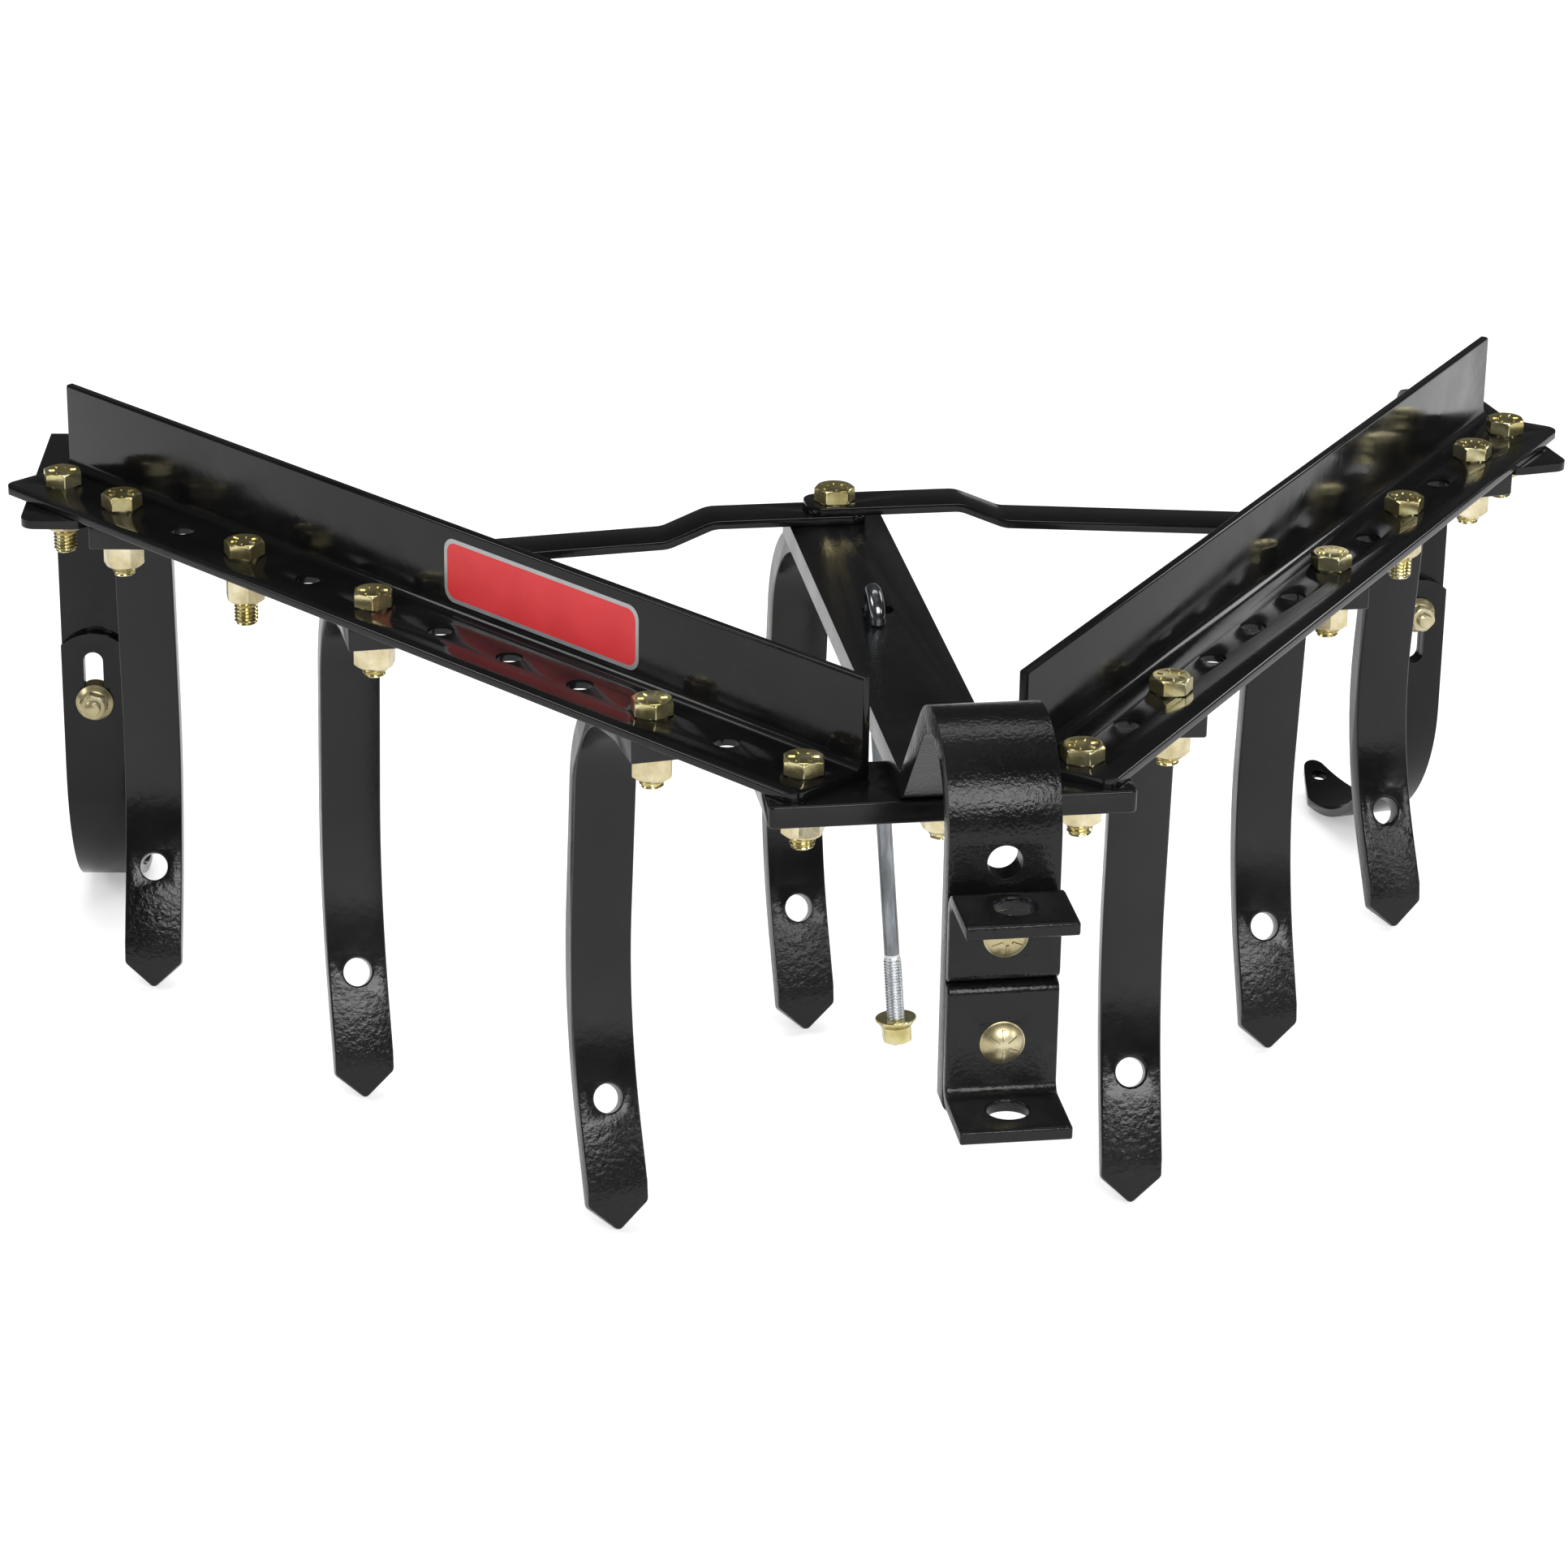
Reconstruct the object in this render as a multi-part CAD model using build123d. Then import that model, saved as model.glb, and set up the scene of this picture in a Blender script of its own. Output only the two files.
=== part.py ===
"""Tow-behind cultivator: a V of two angle-iron wings on a hooped drawbar, seven hooked tines,
two gauge shoes, a two-ear pin hitch and a loose hook rod. Millimetres, +Z up, +Y rearwards."""
from build123d import *
from math import atan2, cos, degrees, radians, sin, tan
import os

# Wings: equal-leg angle iron with a row of holes along the hole line
WING_LEG = 50.8
WING_WALL = 4.76
WING_ROOT_R = 5.0
WING_EDGE_R = 1.4
WING_CORNER_R = 8.0
WING_SWEEP = 36.87
HOLE_PITCH = 50.8
HOLE_COUNT = 12
HOLE_D = 13.5
HOLE_TO_FRONT_EDGE = 25.0
WING_TAIL_OUTER = 21.0
WING_TAIL_INNER = 17.5
PIVOT_X = 66.5

# Wing plate below both wings and the drawbar
PLATE_END = 20.7
PLATE_DEPTH = 50.8
PLATE_THICK = 11.11
PLATE_FRONT_Y = -30.3
PLATE_CORNER_R = 3.0

# Drawbar: one flat bar, bent into a hoop in front
BAR_WIDTH = 50.8
BAR_THICK = 12.7
BAR_TAIL = 12.7
VALLEY_Y = -28.4
VALLEY_R = 18.0
CLIMB_ANGLE = 46.0
HOOP_FACE_Y = -151.0
HOOP_R = 39.4
LEG_FOOT_Z = -101.0
LEG_CORNER_R = 5.0
LEG_HOLE_D = 16.0
LEG_HOLE_Z = 20.5
HOOK_HOLE_D = 16.0
HOOK_HOLE_Y = 187.0

# Hitch ears bolted to the front leg, with one hole each for the hitch pin
EAR_THICK = 6.35
EAR_DEPTH = 44.5
EAR_BEND_R = 8.0
EAR_HEEL_R = 5.0
PIN_HOLE_D = 19.2
PIN_SETBACK = 23.5
EAR_BOLT_D = 9.53
EAR_BOLT_HOLE_D = 10.5

# Braces between the drawbar's rear end and the wings
BRACE_WIDTH = 25.4
BRACE_THICK = 4.76
BRACE_END = 16.0
BRACE_END_R = 9.0
BRACE_HOLE = 9
JOGGLE_START = 66.0
JOGGLE_RUN = 24.0
JOGGLE_DROP = 10.2
JOGGLE_R = 18.0
BRACE_LAND_X = 262.0
BRACE_LAND_R = 60.0

# Tines: one flat bar each, hooked over and swept forwards to a point
TINE_WIDTH = 31.75
TINE_THICK = 12.7
TINE_TOE = 20.0
TINE_SEAT_SPARE = 0.9
TINE_SLOPE = 10.0
TINE_SLOPE_R = 16.0
TINE_ARCH_TURN = 74.0
TINE_ARCH_R = 63.6
TINE_SHANK = 184.5
TINE_SWEEP_TURN = 32.0
TINE_SWEEP_R = 208.0
TINE_HOLE_D = 15.5
TINE_HOLE_UP = 68.6
POINT_HEIGHT = 14.0
BEVEL_HEIGHT = 24.0
BEVEL_DEPTH = 8.0
FLOOR_Z = -308.0

# Gauge shoes: slotted straps on long brackets under the wing ends
STRAP_WIDTH = 36.0
STRAP_THICK = 4.76
BRACKET_TOE = 47.0
BRACKET_REACH = 101.8
BRACKET_BEND_R = 8.4
BRACKET_CORNER_R = 8.0
BRACKET_FOOT_Z = -172.0
SLOT_WIDTH = 11.0
SLOT_TOP_Z = -136.3
SLOT_FOOT_Z = -166.0
SHOE_TOP_Z = -119.5
SHOE_TOP_RISE = 7.5
SHOE_CURVE_R = 100.0
SHOE_BOTTOM_Z = -302.0
SHOE_TURN_UP = 33.0
SHOE_TIP_R = 7.0
SHOE_HOLE_D = 9.5
SHOE_HOLE_BACK = 25.0
SHOE_END_SPARE = 0.5

# Hook rod hanging in the drawbar, with its end nut
ROD_D = 8.0
ROD_THREAD_D = 9.53
ROD_THREAD = 49.5
ROD_HOOK_R = 11.0
ROD_CENTRE_Z = 15.3
ROD_END_DROP = 2.1
ROD_FOOT_Z = -220.5
ROD_OFFSET_X = -3.5
ROD_LEAN_FRONT = 4.5
ROD_LEAN_SIDE = 3.8

# Hex bolts and lock nuts of the frame
BOLT_D = 12.7
HEX_AF = 19.05
HEX_CHAMFER_ANGLE = 30.0
HEX_FACE_SHARE = 0.94
HEAD_HEIGHT = 8.0
NUT_HEIGHT = 17.0
BOLT_LENGTH = 38.1
CENTRE_BOLT_LENGTH = 44.5
REAR_BOLT_LENGTH = 57.2

# Round-headed bolts and flange nuts of the ears, shoes and rod
ROUND_HEAD_D = 20.5
ROUND_HEAD_HEIGHT = 5.2
SMALL_HEX_AF = 14.3
SMALL_NUT_HEIGHT = 9.5
FLANGE_D = 21.4
FLANGE_THICK = 2.0
FLANGE_LIP = 1.0
FLANGE_CONE_Z = 4.4
THREAD_STICK_OUT = 3.0
ROD_NUT_UP = 14.5
ROD_NUT_HEIGHT = 13.0
NUT_CLEARANCE = 0.1

# Columns: node name, wing side (-1 left, 0 drawbar, 1 right), hole, turn about its bolt in
# degrees (rear end towards -X), straight run between the two upper bends
TINES = [
    ("tine_left_outer", -1, 11, -7.8, 28.1),
    ("tine_left_middle", -1, 7, 4.1, 34.1),
    ("tine_left_inner", -1, 3, 8.2, 28.1),
    ("tine_rear_centre", 0, 0, 4.9, 10.1),
    ("tine_right_inner", 1, 3, -5.2, 25.1),
    ("tine_right_middle", 1, 7, 0.8, 34.1),
    ("tine_right_outer", 1, 11, 9.6, 25.1),
]

# Columns: wing hole, thickness of what the bolt clamps below the flange
WING_BOLTS = [
    (1, PLATE_THICK),
    (3, TINE_THICK),
    (7, TINE_THICK),
    (9, BRACE_THICK),
    (11, TINE_THICK),
    (12, STRAP_THICK),
]

# Columns: side name, side, turn of bracket and shoe about the wing bolt, height of the clamp bolt
SHOES = [
    ("left", -1, -7.6, -161.0),
    ("right", 1, 9.0, -141.0),
]

# Columns: side name, outer face of the flange, height of the ear bolt, end of the web, direction
# of the flange from the web (1 up, -1 down)
EARS = [
    ("upper", 10.0, -12.2, -35.0, 1),
    ("lower", -95.4, -64.3, -36.0, -1),
]

PLATE_LENGTH = 2 * (PIVOT_X + PLATE_END)
TINE_KNEE = HEX_AF / 2 + TINE_SEAT_SPARE + TINE_SLOPE_R * tan(radians(TINE_SLOPE / 2))
TINE_ARCH = (TINE_SLOPE_R * tan(radians(TINE_SLOPE / 2))
             + TINE_ARCH_R * tan(radians(TINE_ARCH_TURN / 2)))
REAR_BOLT_Y = (BRACE_HOLE - 1) * HOLE_PITCH * cos(radians(WING_SWEEP))
BRACE_HOLE_X = PIVOT_X + (BRACE_HOLE - 1) * HOLE_PITCH * sin(radians(WING_SWEEP))
LEG_Y = HOOP_FACE_Y + BAR_THICK / 2
PIN_Y = HOOP_FACE_Y - PIN_SETBACK
PIN_Z = (EARS[0][1] + EARS[1][1]) / 2


def wing_hole(side, number):
    """Place of a numbered wing hole (1 = pivot) as x, y at the flange's underside."""
    run = (number - 1) * HOLE_PITCH
    sweep = radians(WING_SWEEP)
    return side * (PIVOT_X + run * sin(sweep)), run * cos(sweep)


def strip(points, radii, thick):
    """Sketch of a bar of even thickness along a centre line, with a bend radius per corner."""
    pts = [Vector(*p) for p in points]
    ways = [(b - a).normalized() for a, b in zip(pts, pts[1:])]
    sides = {1: [], -1: []}
    start = pts[0]
    for i, way in enumerate(ways):
        left = Vector(-way.Y, way.X)
        last = i == len(ways) - 1
        if last:
            end = pts[-1]
        else:
            out = ways[i + 1]
            turn = atan2(way.X * out.Y - way.Y * out.X, way.dot(out))
            back = radii[i] * tan(abs(turn) / 2)
            end = pts[i + 1] - way * back
        for side, edges in sides.items():
            shift = left * (side * thick / 2)
            edges.append(Line(start + shift, end + shift))
        if not last:
            bend = 1 if turn > 0 else -1
            centre = end + left * (bend * radii[i])
            half = (end - centre).rotate(Axis.Z, degrees(turn / 2))
            full = (end - centre).rotate(Axis.Z, degrees(turn))
            for side, edges in sides.items():
                scale = (radii[i] - side * bend * thick / 2) / radii[i]
                first = centre + (end - centre) * scale
                edges.append(ThreePointArc(first, centre + half * scale, centre + full * scale))
            start = centre + full
    caps = [Line(sides[1][0] @ 0, sides[-1][0] @ 0), Line(sides[1][-1] @ 1, sides[-1][-1] @ 1)]
    return make_face(sides[1] + sides[-1] + caps)


def bar(points, radii, thick, width):
    """Bent flat bar in the YZ plane, centred on X = 0."""
    return extrude(Plane.YZ * strip(points, radii, thick), width / 2, both=True)


def drill(diameter, depth, at, way=(0, 0, 1)):
    """Cylinder for a hole through the given point along the given direction."""
    return Plane(origin=at, z_dir=way) * Cylinder(diameter / 2, depth)


def hexagon(across_flats, height):
    """Hex prism standing on Z = 0, its free face turned down to a cone at the corners."""
    prism = extrude(RegularPolygon(across_flats / 2, 6, major_radius=False), height)
    corner = across_flats / 2 / cos(radians(30))
    face_r = across_flats / 2 * HEX_FACE_SHARE
    drop = (corner - face_r) * tan(radians(HEX_CHAMFER_ANGLE))
    profile = Polyline((0, 0), (corner, 0), (corner, height - drop), (face_r, height), (0, height),
                       close=True)
    return prism & revolve(Plane.XZ * make_face(profile), Axis.Z)


def hex_bolt(at, length):
    """Hex bolt whose head sits on the given point, shank down."""
    shank = Pos(0, 0, -length / 2) * Cylinder(BOLT_D / 2, length)
    return Pos(*at) * (hexagon(HEX_AF, HEAD_HEIGHT) + shank)


def lock_nut(at):
    """Tall lock nut below the given point, bored for its bolt."""
    body = Rot(180, 0, 0) * hexagon(HEX_AF, NUT_HEIGHT)
    return Pos(*at) * (body - Cylinder(BOLT_D / 2 + NUT_CLEARANCE, 3 * NUT_HEIGHT))


def flange_nut(height):
    """Flange nut standing on Z = 0, not yet bored for its bolt."""
    skirt = extrude(Circle(FLANGE_D / 2), FLANGE_THICK)
    cone = loft([Pos(0, 0, FLANGE_THICK) * Circle(FLANGE_D / 2 - FLANGE_LIP),
                 Pos(0, 0, FLANGE_CONE_Z) * Circle(SMALL_HEX_AF / 2)])
    return skirt + cone + hexagon(SMALL_HEX_AF, height)


def round_bolt(grip):
    """Round-headed bolt: head above Z = 0, shank down through the grip and its nut."""
    ball_r = (ROUND_HEAD_D ** 2 / 4 + ROUND_HEAD_HEIGHT ** 2) / (2 * ROUND_HEAD_HEIGHT)
    cap = Pos(0, 0, ROUND_HEAD_HEIGHT - ball_r) * Sphere(ball_r)
    head = cap & Pos(0, 0, ball_r) * Box(3 * ball_r, 3 * ball_r, 2 * ball_r)
    length = grip + SMALL_NUT_HEIGHT + THREAD_STICK_OUT
    return head + Pos(0, 0, -length / 2) * Cylinder(EAR_BOLT_D / 2, length)


def wing():
    """Right wing: angle section along the hole line, turned to its sweep."""
    back = HOLE_TO_FRONT_EDGE - WING_LEG
    length = (HOLE_COUNT - 1) * HOLE_PITCH + WING_TAIL_OUTER + WING_TAIL_INNER
    section = Polyline((back, 0), (HOLE_TO_FRONT_EDGE, 0), (HOLE_TO_FRONT_EDGE, WING_WALL),
                       (back + WING_WALL, WING_WALL), (back + WING_WALL, WING_LEG), (back, WING_LEG),
                       close=True)
    face = make_face(section)
    inner = face.vertices().sort_by_distance((back + WING_WALL, WING_WALL))[0]
    face = fillet(inner, WING_ROOT_R)
    toes = [face.vertices().sort_by_distance(p)[0]
            for p in ((HOLE_TO_FRONT_EDGE, WING_WALL), (back + WING_WALL, WING_LEG))]
    face = fillet(toes, WING_EDGE_R)
    body = extrude(Plane(origin=(0, -WING_TAIL_INNER, 0), x_dir=(1, 0, 0), z_dir=(0, -1, 0)) * face, -length)
    blank = Pos(back, -WING_TAIL_INNER, 0) * Box(WING_LEG, length, 3 * WING_LEG,
                                                 align=(Align.MIN, Align.MIN, Align.CENTER))
    body &= fillet(blank.edges().filter_by(Axis.Z).group_by(Axis.X)[-1], WING_CORNER_R)
    for number in range(HOLE_COUNT):
        body -= drill(HOLE_D, 4 * WING_WALL, (0, number * HOLE_PITCH, 0))
    return Pos(PIVOT_X, 0, 0) * Rot(0, 0, -WING_SWEEP) * body


def wing_plate():
    """Plate below the wings' inner ends and the drawbar, with its three bolt holes."""
    body = Box(PLATE_LENGTH, PLATE_DEPTH, PLATE_THICK, align=(Align.CENTER, Align.MIN, Align.MAX))
    body = fillet(body.edges().filter_by(Axis.Z), PLATE_CORNER_R)
    body = Pos(0, PLATE_FRONT_Y, 0) * body
    for x in (-PIVOT_X, 0, PIVOT_X):
        body -= drill(HOLE_D, 4 * PLATE_THICK, (x, 0, 0))
    return body


def drawbar():
    """Drawbar: rear flat, valley, climb, hoop and front leg from one bar, then drilled."""
    rise = (VALLEY_Y - LEG_Y) * tan(radians(CLIMB_ANGLE))
    mid = BAR_THICK / 2
    path = [(REAR_BOLT_Y + BAR_TAIL, mid), (VALLEY_Y, mid), (LEG_Y, mid + rise), (LEG_Y, LEG_FOOT_Z)]
    body = bar(path, (VALLEY_R, HOOP_R), BAR_THICK, BAR_WIDTH)
    body = fillet(body.edges().filter_by(Axis.Y).group_by(Axis.Z)[0], LEG_CORNER_R)
    for y, size in ((0, HOLE_D), (HOOK_HOLE_Y, HOOK_HOLE_D), (REAR_BOLT_Y, HOLE_D)):
        body -= drill(size, 2 * BAR_THICK, (0, y, mid))
    body -= drill(LEG_HOLE_D, 2 * BAR_THICK, (0, LEG_Y, LEG_HOLE_Z), (0, 1, 0))
    for ear in EARS:
        body -= drill(EAR_BOLT_HOLE_D, 2 * BAR_THICK, (0, LEG_Y, ear[2]), (0, 1, 0))
    return body


def hitch_ear(flange_z, bolt_z, web_end, up):
    """Bent ear: web on the front leg, flange forwards with the pin hole, rounded heel."""
    web_y = HOOP_FACE_Y - EAR_THICK / 2
    top = flange_z - up * EAR_THICK / 2
    path = [(web_y, web_end), (web_y, top), (HOOP_FACE_Y - EAR_DEPTH, top)]
    body = bar(path, (EAR_BEND_R,), EAR_THICK, BAR_WIDTH)
    heel = body.edges().filter_by(Axis.X).sort_by_distance((0, HOOP_FACE_Y - EAR_THICK, web_end))[0]
    body = fillet(heel, EAR_HEEL_R)
    body -= drill(EAR_BOLT_HOLE_D, 4 * EAR_THICK, (0, HOOP_FACE_Y, bolt_z), (0, 1, 0))
    return body - drill(PIN_HOLE_D, 4 * EAR_THICK, (0, PIN_Y, top))


def brace(side, seat_z):
    """Joggled strap from the drawbar's rear bolt to the underside of a wing at its brace hole."""
    high = seat_z + BRACE_THICK / 2
    low = -BRACE_THICK / 2
    path = [(-BRACE_END, high), (JOGGLE_START, high), (JOGGLE_START + JOGGLE_RUN, high - JOGGLE_DROP),
            (BRACE_LAND_X, low), (BRACE_HOLE_X + BRACE_END, low)]
    face = strip(path, (JOGGLE_R, JOGGLE_R, BRACE_LAND_R), BRACE_THICK)
    body = extrude(Plane.XZ * face, BRACE_WIDTH / 2, both=True)
    blank = Pos(BRACE_HOLE_X / 2, 0, 0) * Box(BRACE_HOLE_X + 2 * BRACE_END, BRACE_WIDTH, 4 * HOLE_PITCH)
    body &= fillet(blank.edges().filter_by(Axis.Z), BRACE_END_R)
    for x in (0, BRACE_HOLE_X):
        body -= drill(HOLE_D, 4 * HOLE_PITCH, (x, 0, 0))
    body = Pos(0, REAR_BOLT_Y, 0) * body
    return mirror(body, Plane.YZ) if side < 0 else body


def tine_path(arch_run):
    """Corners of a tine's centre line as rear distance and height from its bolt."""
    head = TINE_SLOPE
    run, level = TINE_KNEE, -TINE_THICK / 2
    path = [(-TINE_TOE, level), (run, level)]
    for turn, length in ((TINE_ARCH_TURN, TINE_ARCH + arch_run), (TINE_SWEEP_TURN, TINE_SHANK)):
        run += length * cos(radians(head))
        level -= length * sin(radians(head))
        path.append((run, level))
        head += turn
    last = radians(head)
    drop = level - FLOOR_Z + TINE_THICK / 2 * cos(last)
    path.append((run + drop / tan(last), level - drop))
    return path


def tine_tip(path):
    """Frame at the tip: origin on the centre line's end, X sideways, Y up the shank, Z forwards."""
    (run, level), (up_run, up_level) = path[-1], path[-2]
    up = Vector(0, up_run - run, up_level - level).normalized()
    return Plane(origin=(0, run, level), x_dir=(1, 0, 0), z_dir=Vector(1, 0, 0).cross(up))


def tine(arch_run):
    """Tine at its own bolt: hooked bar, bolt hole, tool hole, bevelled V point."""
    path = tine_path(arch_run)
    body = bar(path, (TINE_SLOPE_R, TINE_ARCH_R, TINE_SWEEP_R), TINE_THICK, TINE_WIDTH)
    tip = tine_tip(path)
    half = TINE_WIDTH / 2
    for side in (-1, 1):
        far = side * TINE_WIDTH
        waste = Polyline((0, 0), (far, 2 * POINT_HEIGHT), (far, -half), (0, -half), close=True)
        body -= extrude(tip * make_face(waste), 2 * TINE_THICK, both=True)
    front = tip.z_dir * (TINE_THICK / 2)
    slope = degrees(atan2(BEVEL_DEPTH, BEVEL_HEIGHT))
    edge = Plane(origin=tip.origin + front + tip.y_dir * BEVEL_HEIGHT, x_dir=(1, 0, 0), z_dir=tip.z_dir)
    body -= edge * Rot(slope, 0, 0) * Box(2 * TINE_WIDTH, 3 * BEVEL_HEIGHT, 2 * TINE_THICK,
                                         align=(Align.CENTER, Align.MAX, Align.MIN))
    body -= drill(HOLE_D, 4 * TINE_THICK, (0, 0, 0))
    hole = tip.origin + tip.y_dir * TINE_HOLE_UP
    return body - drill(TINE_HOLE_D, 4 * TINE_THICK, hole, tip.z_dir)


def slot_cutter():
    """Cutter for the clamp slot that the bracket and the shoe share."""
    length = SLOT_TOP_Z - SLOT_FOOT_Z + SLOT_WIDTH
    face = SlotOverall(length, SLOT_WIDTH, rotation=90)
    frame = Plane(origin=(0, 0, (SLOT_TOP_Z + SLOT_FOOT_Z) / 2), x_dir=(1, 0, 0), z_dir=(0, -1, 0))
    return extrude(frame * face, 3 * BRACKET_REACH, both=True)


def shoe_bracket():
    """Bracket at its wing bolt: strap under the flange, bent down behind, slotted."""
    back = BRACKET_REACH + STRAP_THICK / 2
    path = [(-BRACKET_TOE, -STRAP_THICK / 2), (back, -STRAP_THICK / 2), (back, BRACKET_FOOT_Z)]
    body = bar(path, (BRACKET_BEND_R,), STRAP_THICK, STRAP_WIDTH)
    body = fillet(body.edges().filter_by(Axis.Z).group_by(Axis.Y)[0], BRACKET_CORNER_R)
    body = fillet(body.edges().filter_by(Axis.Y).group_by(Axis.Z)[0], BRACKET_CORNER_R)
    return body - slot_cutter() - drill(HOLE_D, 4 * STRAP_THICK, (0, 0, 0))


def gauge_shoe():
    """Shoe in front of its bracket: slotted strap that curves rearwards to a turned-up point."""
    mid_r = SHOE_CURVE_R - STRAP_THICK / 2
    y = BRACKET_REACH - STRAP_THICK / 2
    tangent = mid_r * tan(radians(90 + SHOE_TURN_UP) / 2)
    corner_z = SHOE_BOTTOM_Z + SHOE_CURVE_R - tangent
    up = radians(SHOE_TURN_UP)
    run = tangent + SHOE_END_SPARE
    end = (y + run * cos(up), corner_z + run * sin(up))
    body = bar([(y, SHOE_TOP_Z), (y, corner_z), end], (mid_r,), STRAP_THICK, STRAP_WIDTH)
    half = STRAP_WIDTH / 2
    front = BRACKET_REACH - 2 * STRAP_THICK
    bottom_y = BRACKET_REACH - STRAP_THICK + SHOE_CURVE_R
    plan = Polyline((half, front), (half, bottom_y), (0, end[0]), (-half, bottom_y), (-half, front),
                    close=True)
    outline = make_face(plan)
    outline = fillet(outline.vertices().group_by(Axis.Y)[-1], SHOE_TIP_R)
    body &= extrude(outline, -2 * SHOE_BOTTOM_Z, both=True)
    arch_r = (half ** 2 + SHOE_TOP_RISE ** 2) / (2 * SHOE_TOP_RISE)
    below = Box(2 * STRAP_WIDTH, 8 * SHOE_CURVE_R, -SHOE_BOTTOM_Z,
                align=(Align.CENTER, Align.CENTER, Align.MAX))
    crown = drill(2 * arch_r, 8 * SHOE_CURVE_R, (0, 0, SHOE_TOP_Z - arch_r), (0, 1, 0))
    body &= crown + Pos(0, 0, SHOE_TOP_Z - arch_r) * below
    hole_y = bottom_y + SHOE_HOLE_BACK
    return body - slot_cutter() - drill(SHOE_HOLE_D, SHOE_CURVE_R, (0, hole_y, SHOE_BOTTOM_Z))


def hook_frame():
    """Frame of the hanging rod: origin at the hook's centre, leaning sideways."""
    return Pos(ROD_OFFSET_X, HOOK_HOLE_Y - ROD_HOOK_R, ROD_CENTRE_Z) * Rot(0, -ROD_LEAN_SIDE, 0)


def rod_end():
    """Rear top and foot of the rod's straight shank in its own frame."""
    lean = radians(ROD_LEAN_FRONT)
    top = Vector(0, ROD_HOOK_R * cos(lean), -ROD_HOOK_R * sin(lean))
    way = Vector(0, -sin(lean), -cos(lean))
    return top, way, (ROD_CENTRE_Z - ROD_FOOT_Z) / cos(lean)


def hook_rod():
    """Hook rod: short front end, hook over the drawbar, shank down through its hole."""
    top, way, length = rod_end()
    rim = Line((0, -ROD_HOOK_R, -ROD_END_DROP), (0, -ROD_HOOK_R, 0))
    over = ThreePointArc((0, -ROD_HOOK_R, 0), (0, 0, ROD_HOOK_R), top)
    down = Line(top, top + way * length)
    wire = Wire([rim, over, down])
    circle = Plane(origin=rim @ 0, z_dir=(0, 0, 1)) * Circle(ROD_D / 2)
    foot = Plane(origin=top + way * (length - ROD_THREAD), z_dir=way).location
    screw = Cylinder(ROD_THREAD_D / 2, ROD_THREAD, align=(Align.CENTER, Align.CENTER, Align.MIN))
    return hook_frame() * (sweep(circle, path=wire) + foot * screw)


def hook_nut():
    """Nut near the rod's foot, its flange up."""
    top, way, length = rod_end()
    seat = Plane(origin=top + way * (length - ROD_NUT_UP), x_dir=(1, 0, 0), z_dir=way)
    bore = Cylinder(ROD_THREAD_D / 2 + NUT_CLEARANCE, 4 * ROD_NUT_HEIGHT)
    return hook_frame() * seat.location * (flange_nut(ROD_NUT_HEIGHT) - bore)


def place(side, number, turn=0.0):
    """Location of a part hung on a wing hole, or on the drawbar's rear bolt when side is 0."""
    x, y = wing_hole(side, number) if side else (0, REAR_BOLT_Y)
    return Pos(x, y, 0) * Rot(0, 0, turn)


def wing_bolts(side):
    """Bolts of one wing."""
    bolts = [hex_bolt((*wing_hole(side, row[0]), WING_WALL), BOLT_LENGTH) for row in WING_BOLTS]
    return Compound(children=bolts)


def wing_nuts(side):
    """Lock nuts of one wing, each below what its bolt clamps."""
    nuts = [lock_nut((*wing_hole(side, number), -grip)) for number, grip in WING_BOLTS]
    return Compound(children=nuts)


def ear_bolt_frame(bolt_z):
    """Frame at a hitch bolt: origin on the ear's front face, Z forwards."""
    return Plane(origin=(0, HOOP_FACE_Y - EAR_THICK, bolt_z), x_dir=(1, 0, 0), z_dir=(0, -1, 0))


def shoe_bolt_frame(bolt_z):
    """Frame at a shoe bolt in the bracket's own frame: origin on the rear face, Z rearwards."""
    return Plane(origin=(0, BRACKET_REACH + STRAP_THICK, bolt_z), x_dir=(-1, 0, 0), z_dir=(0, 1, 0))


def small_nut(grip):
    """Flange nut of a round-headed bolt whose head sits on Z = 0."""
    nut = flange_nut(SMALL_NUT_HEIGHT) - Cylinder(EAR_BOLT_D / 2 + NUT_CLEARANCE, 4 * SMALL_NUT_HEIGHT)
    return Pos(0, 0, -grip) * Rot(180, 0, 0) * nut


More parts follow.
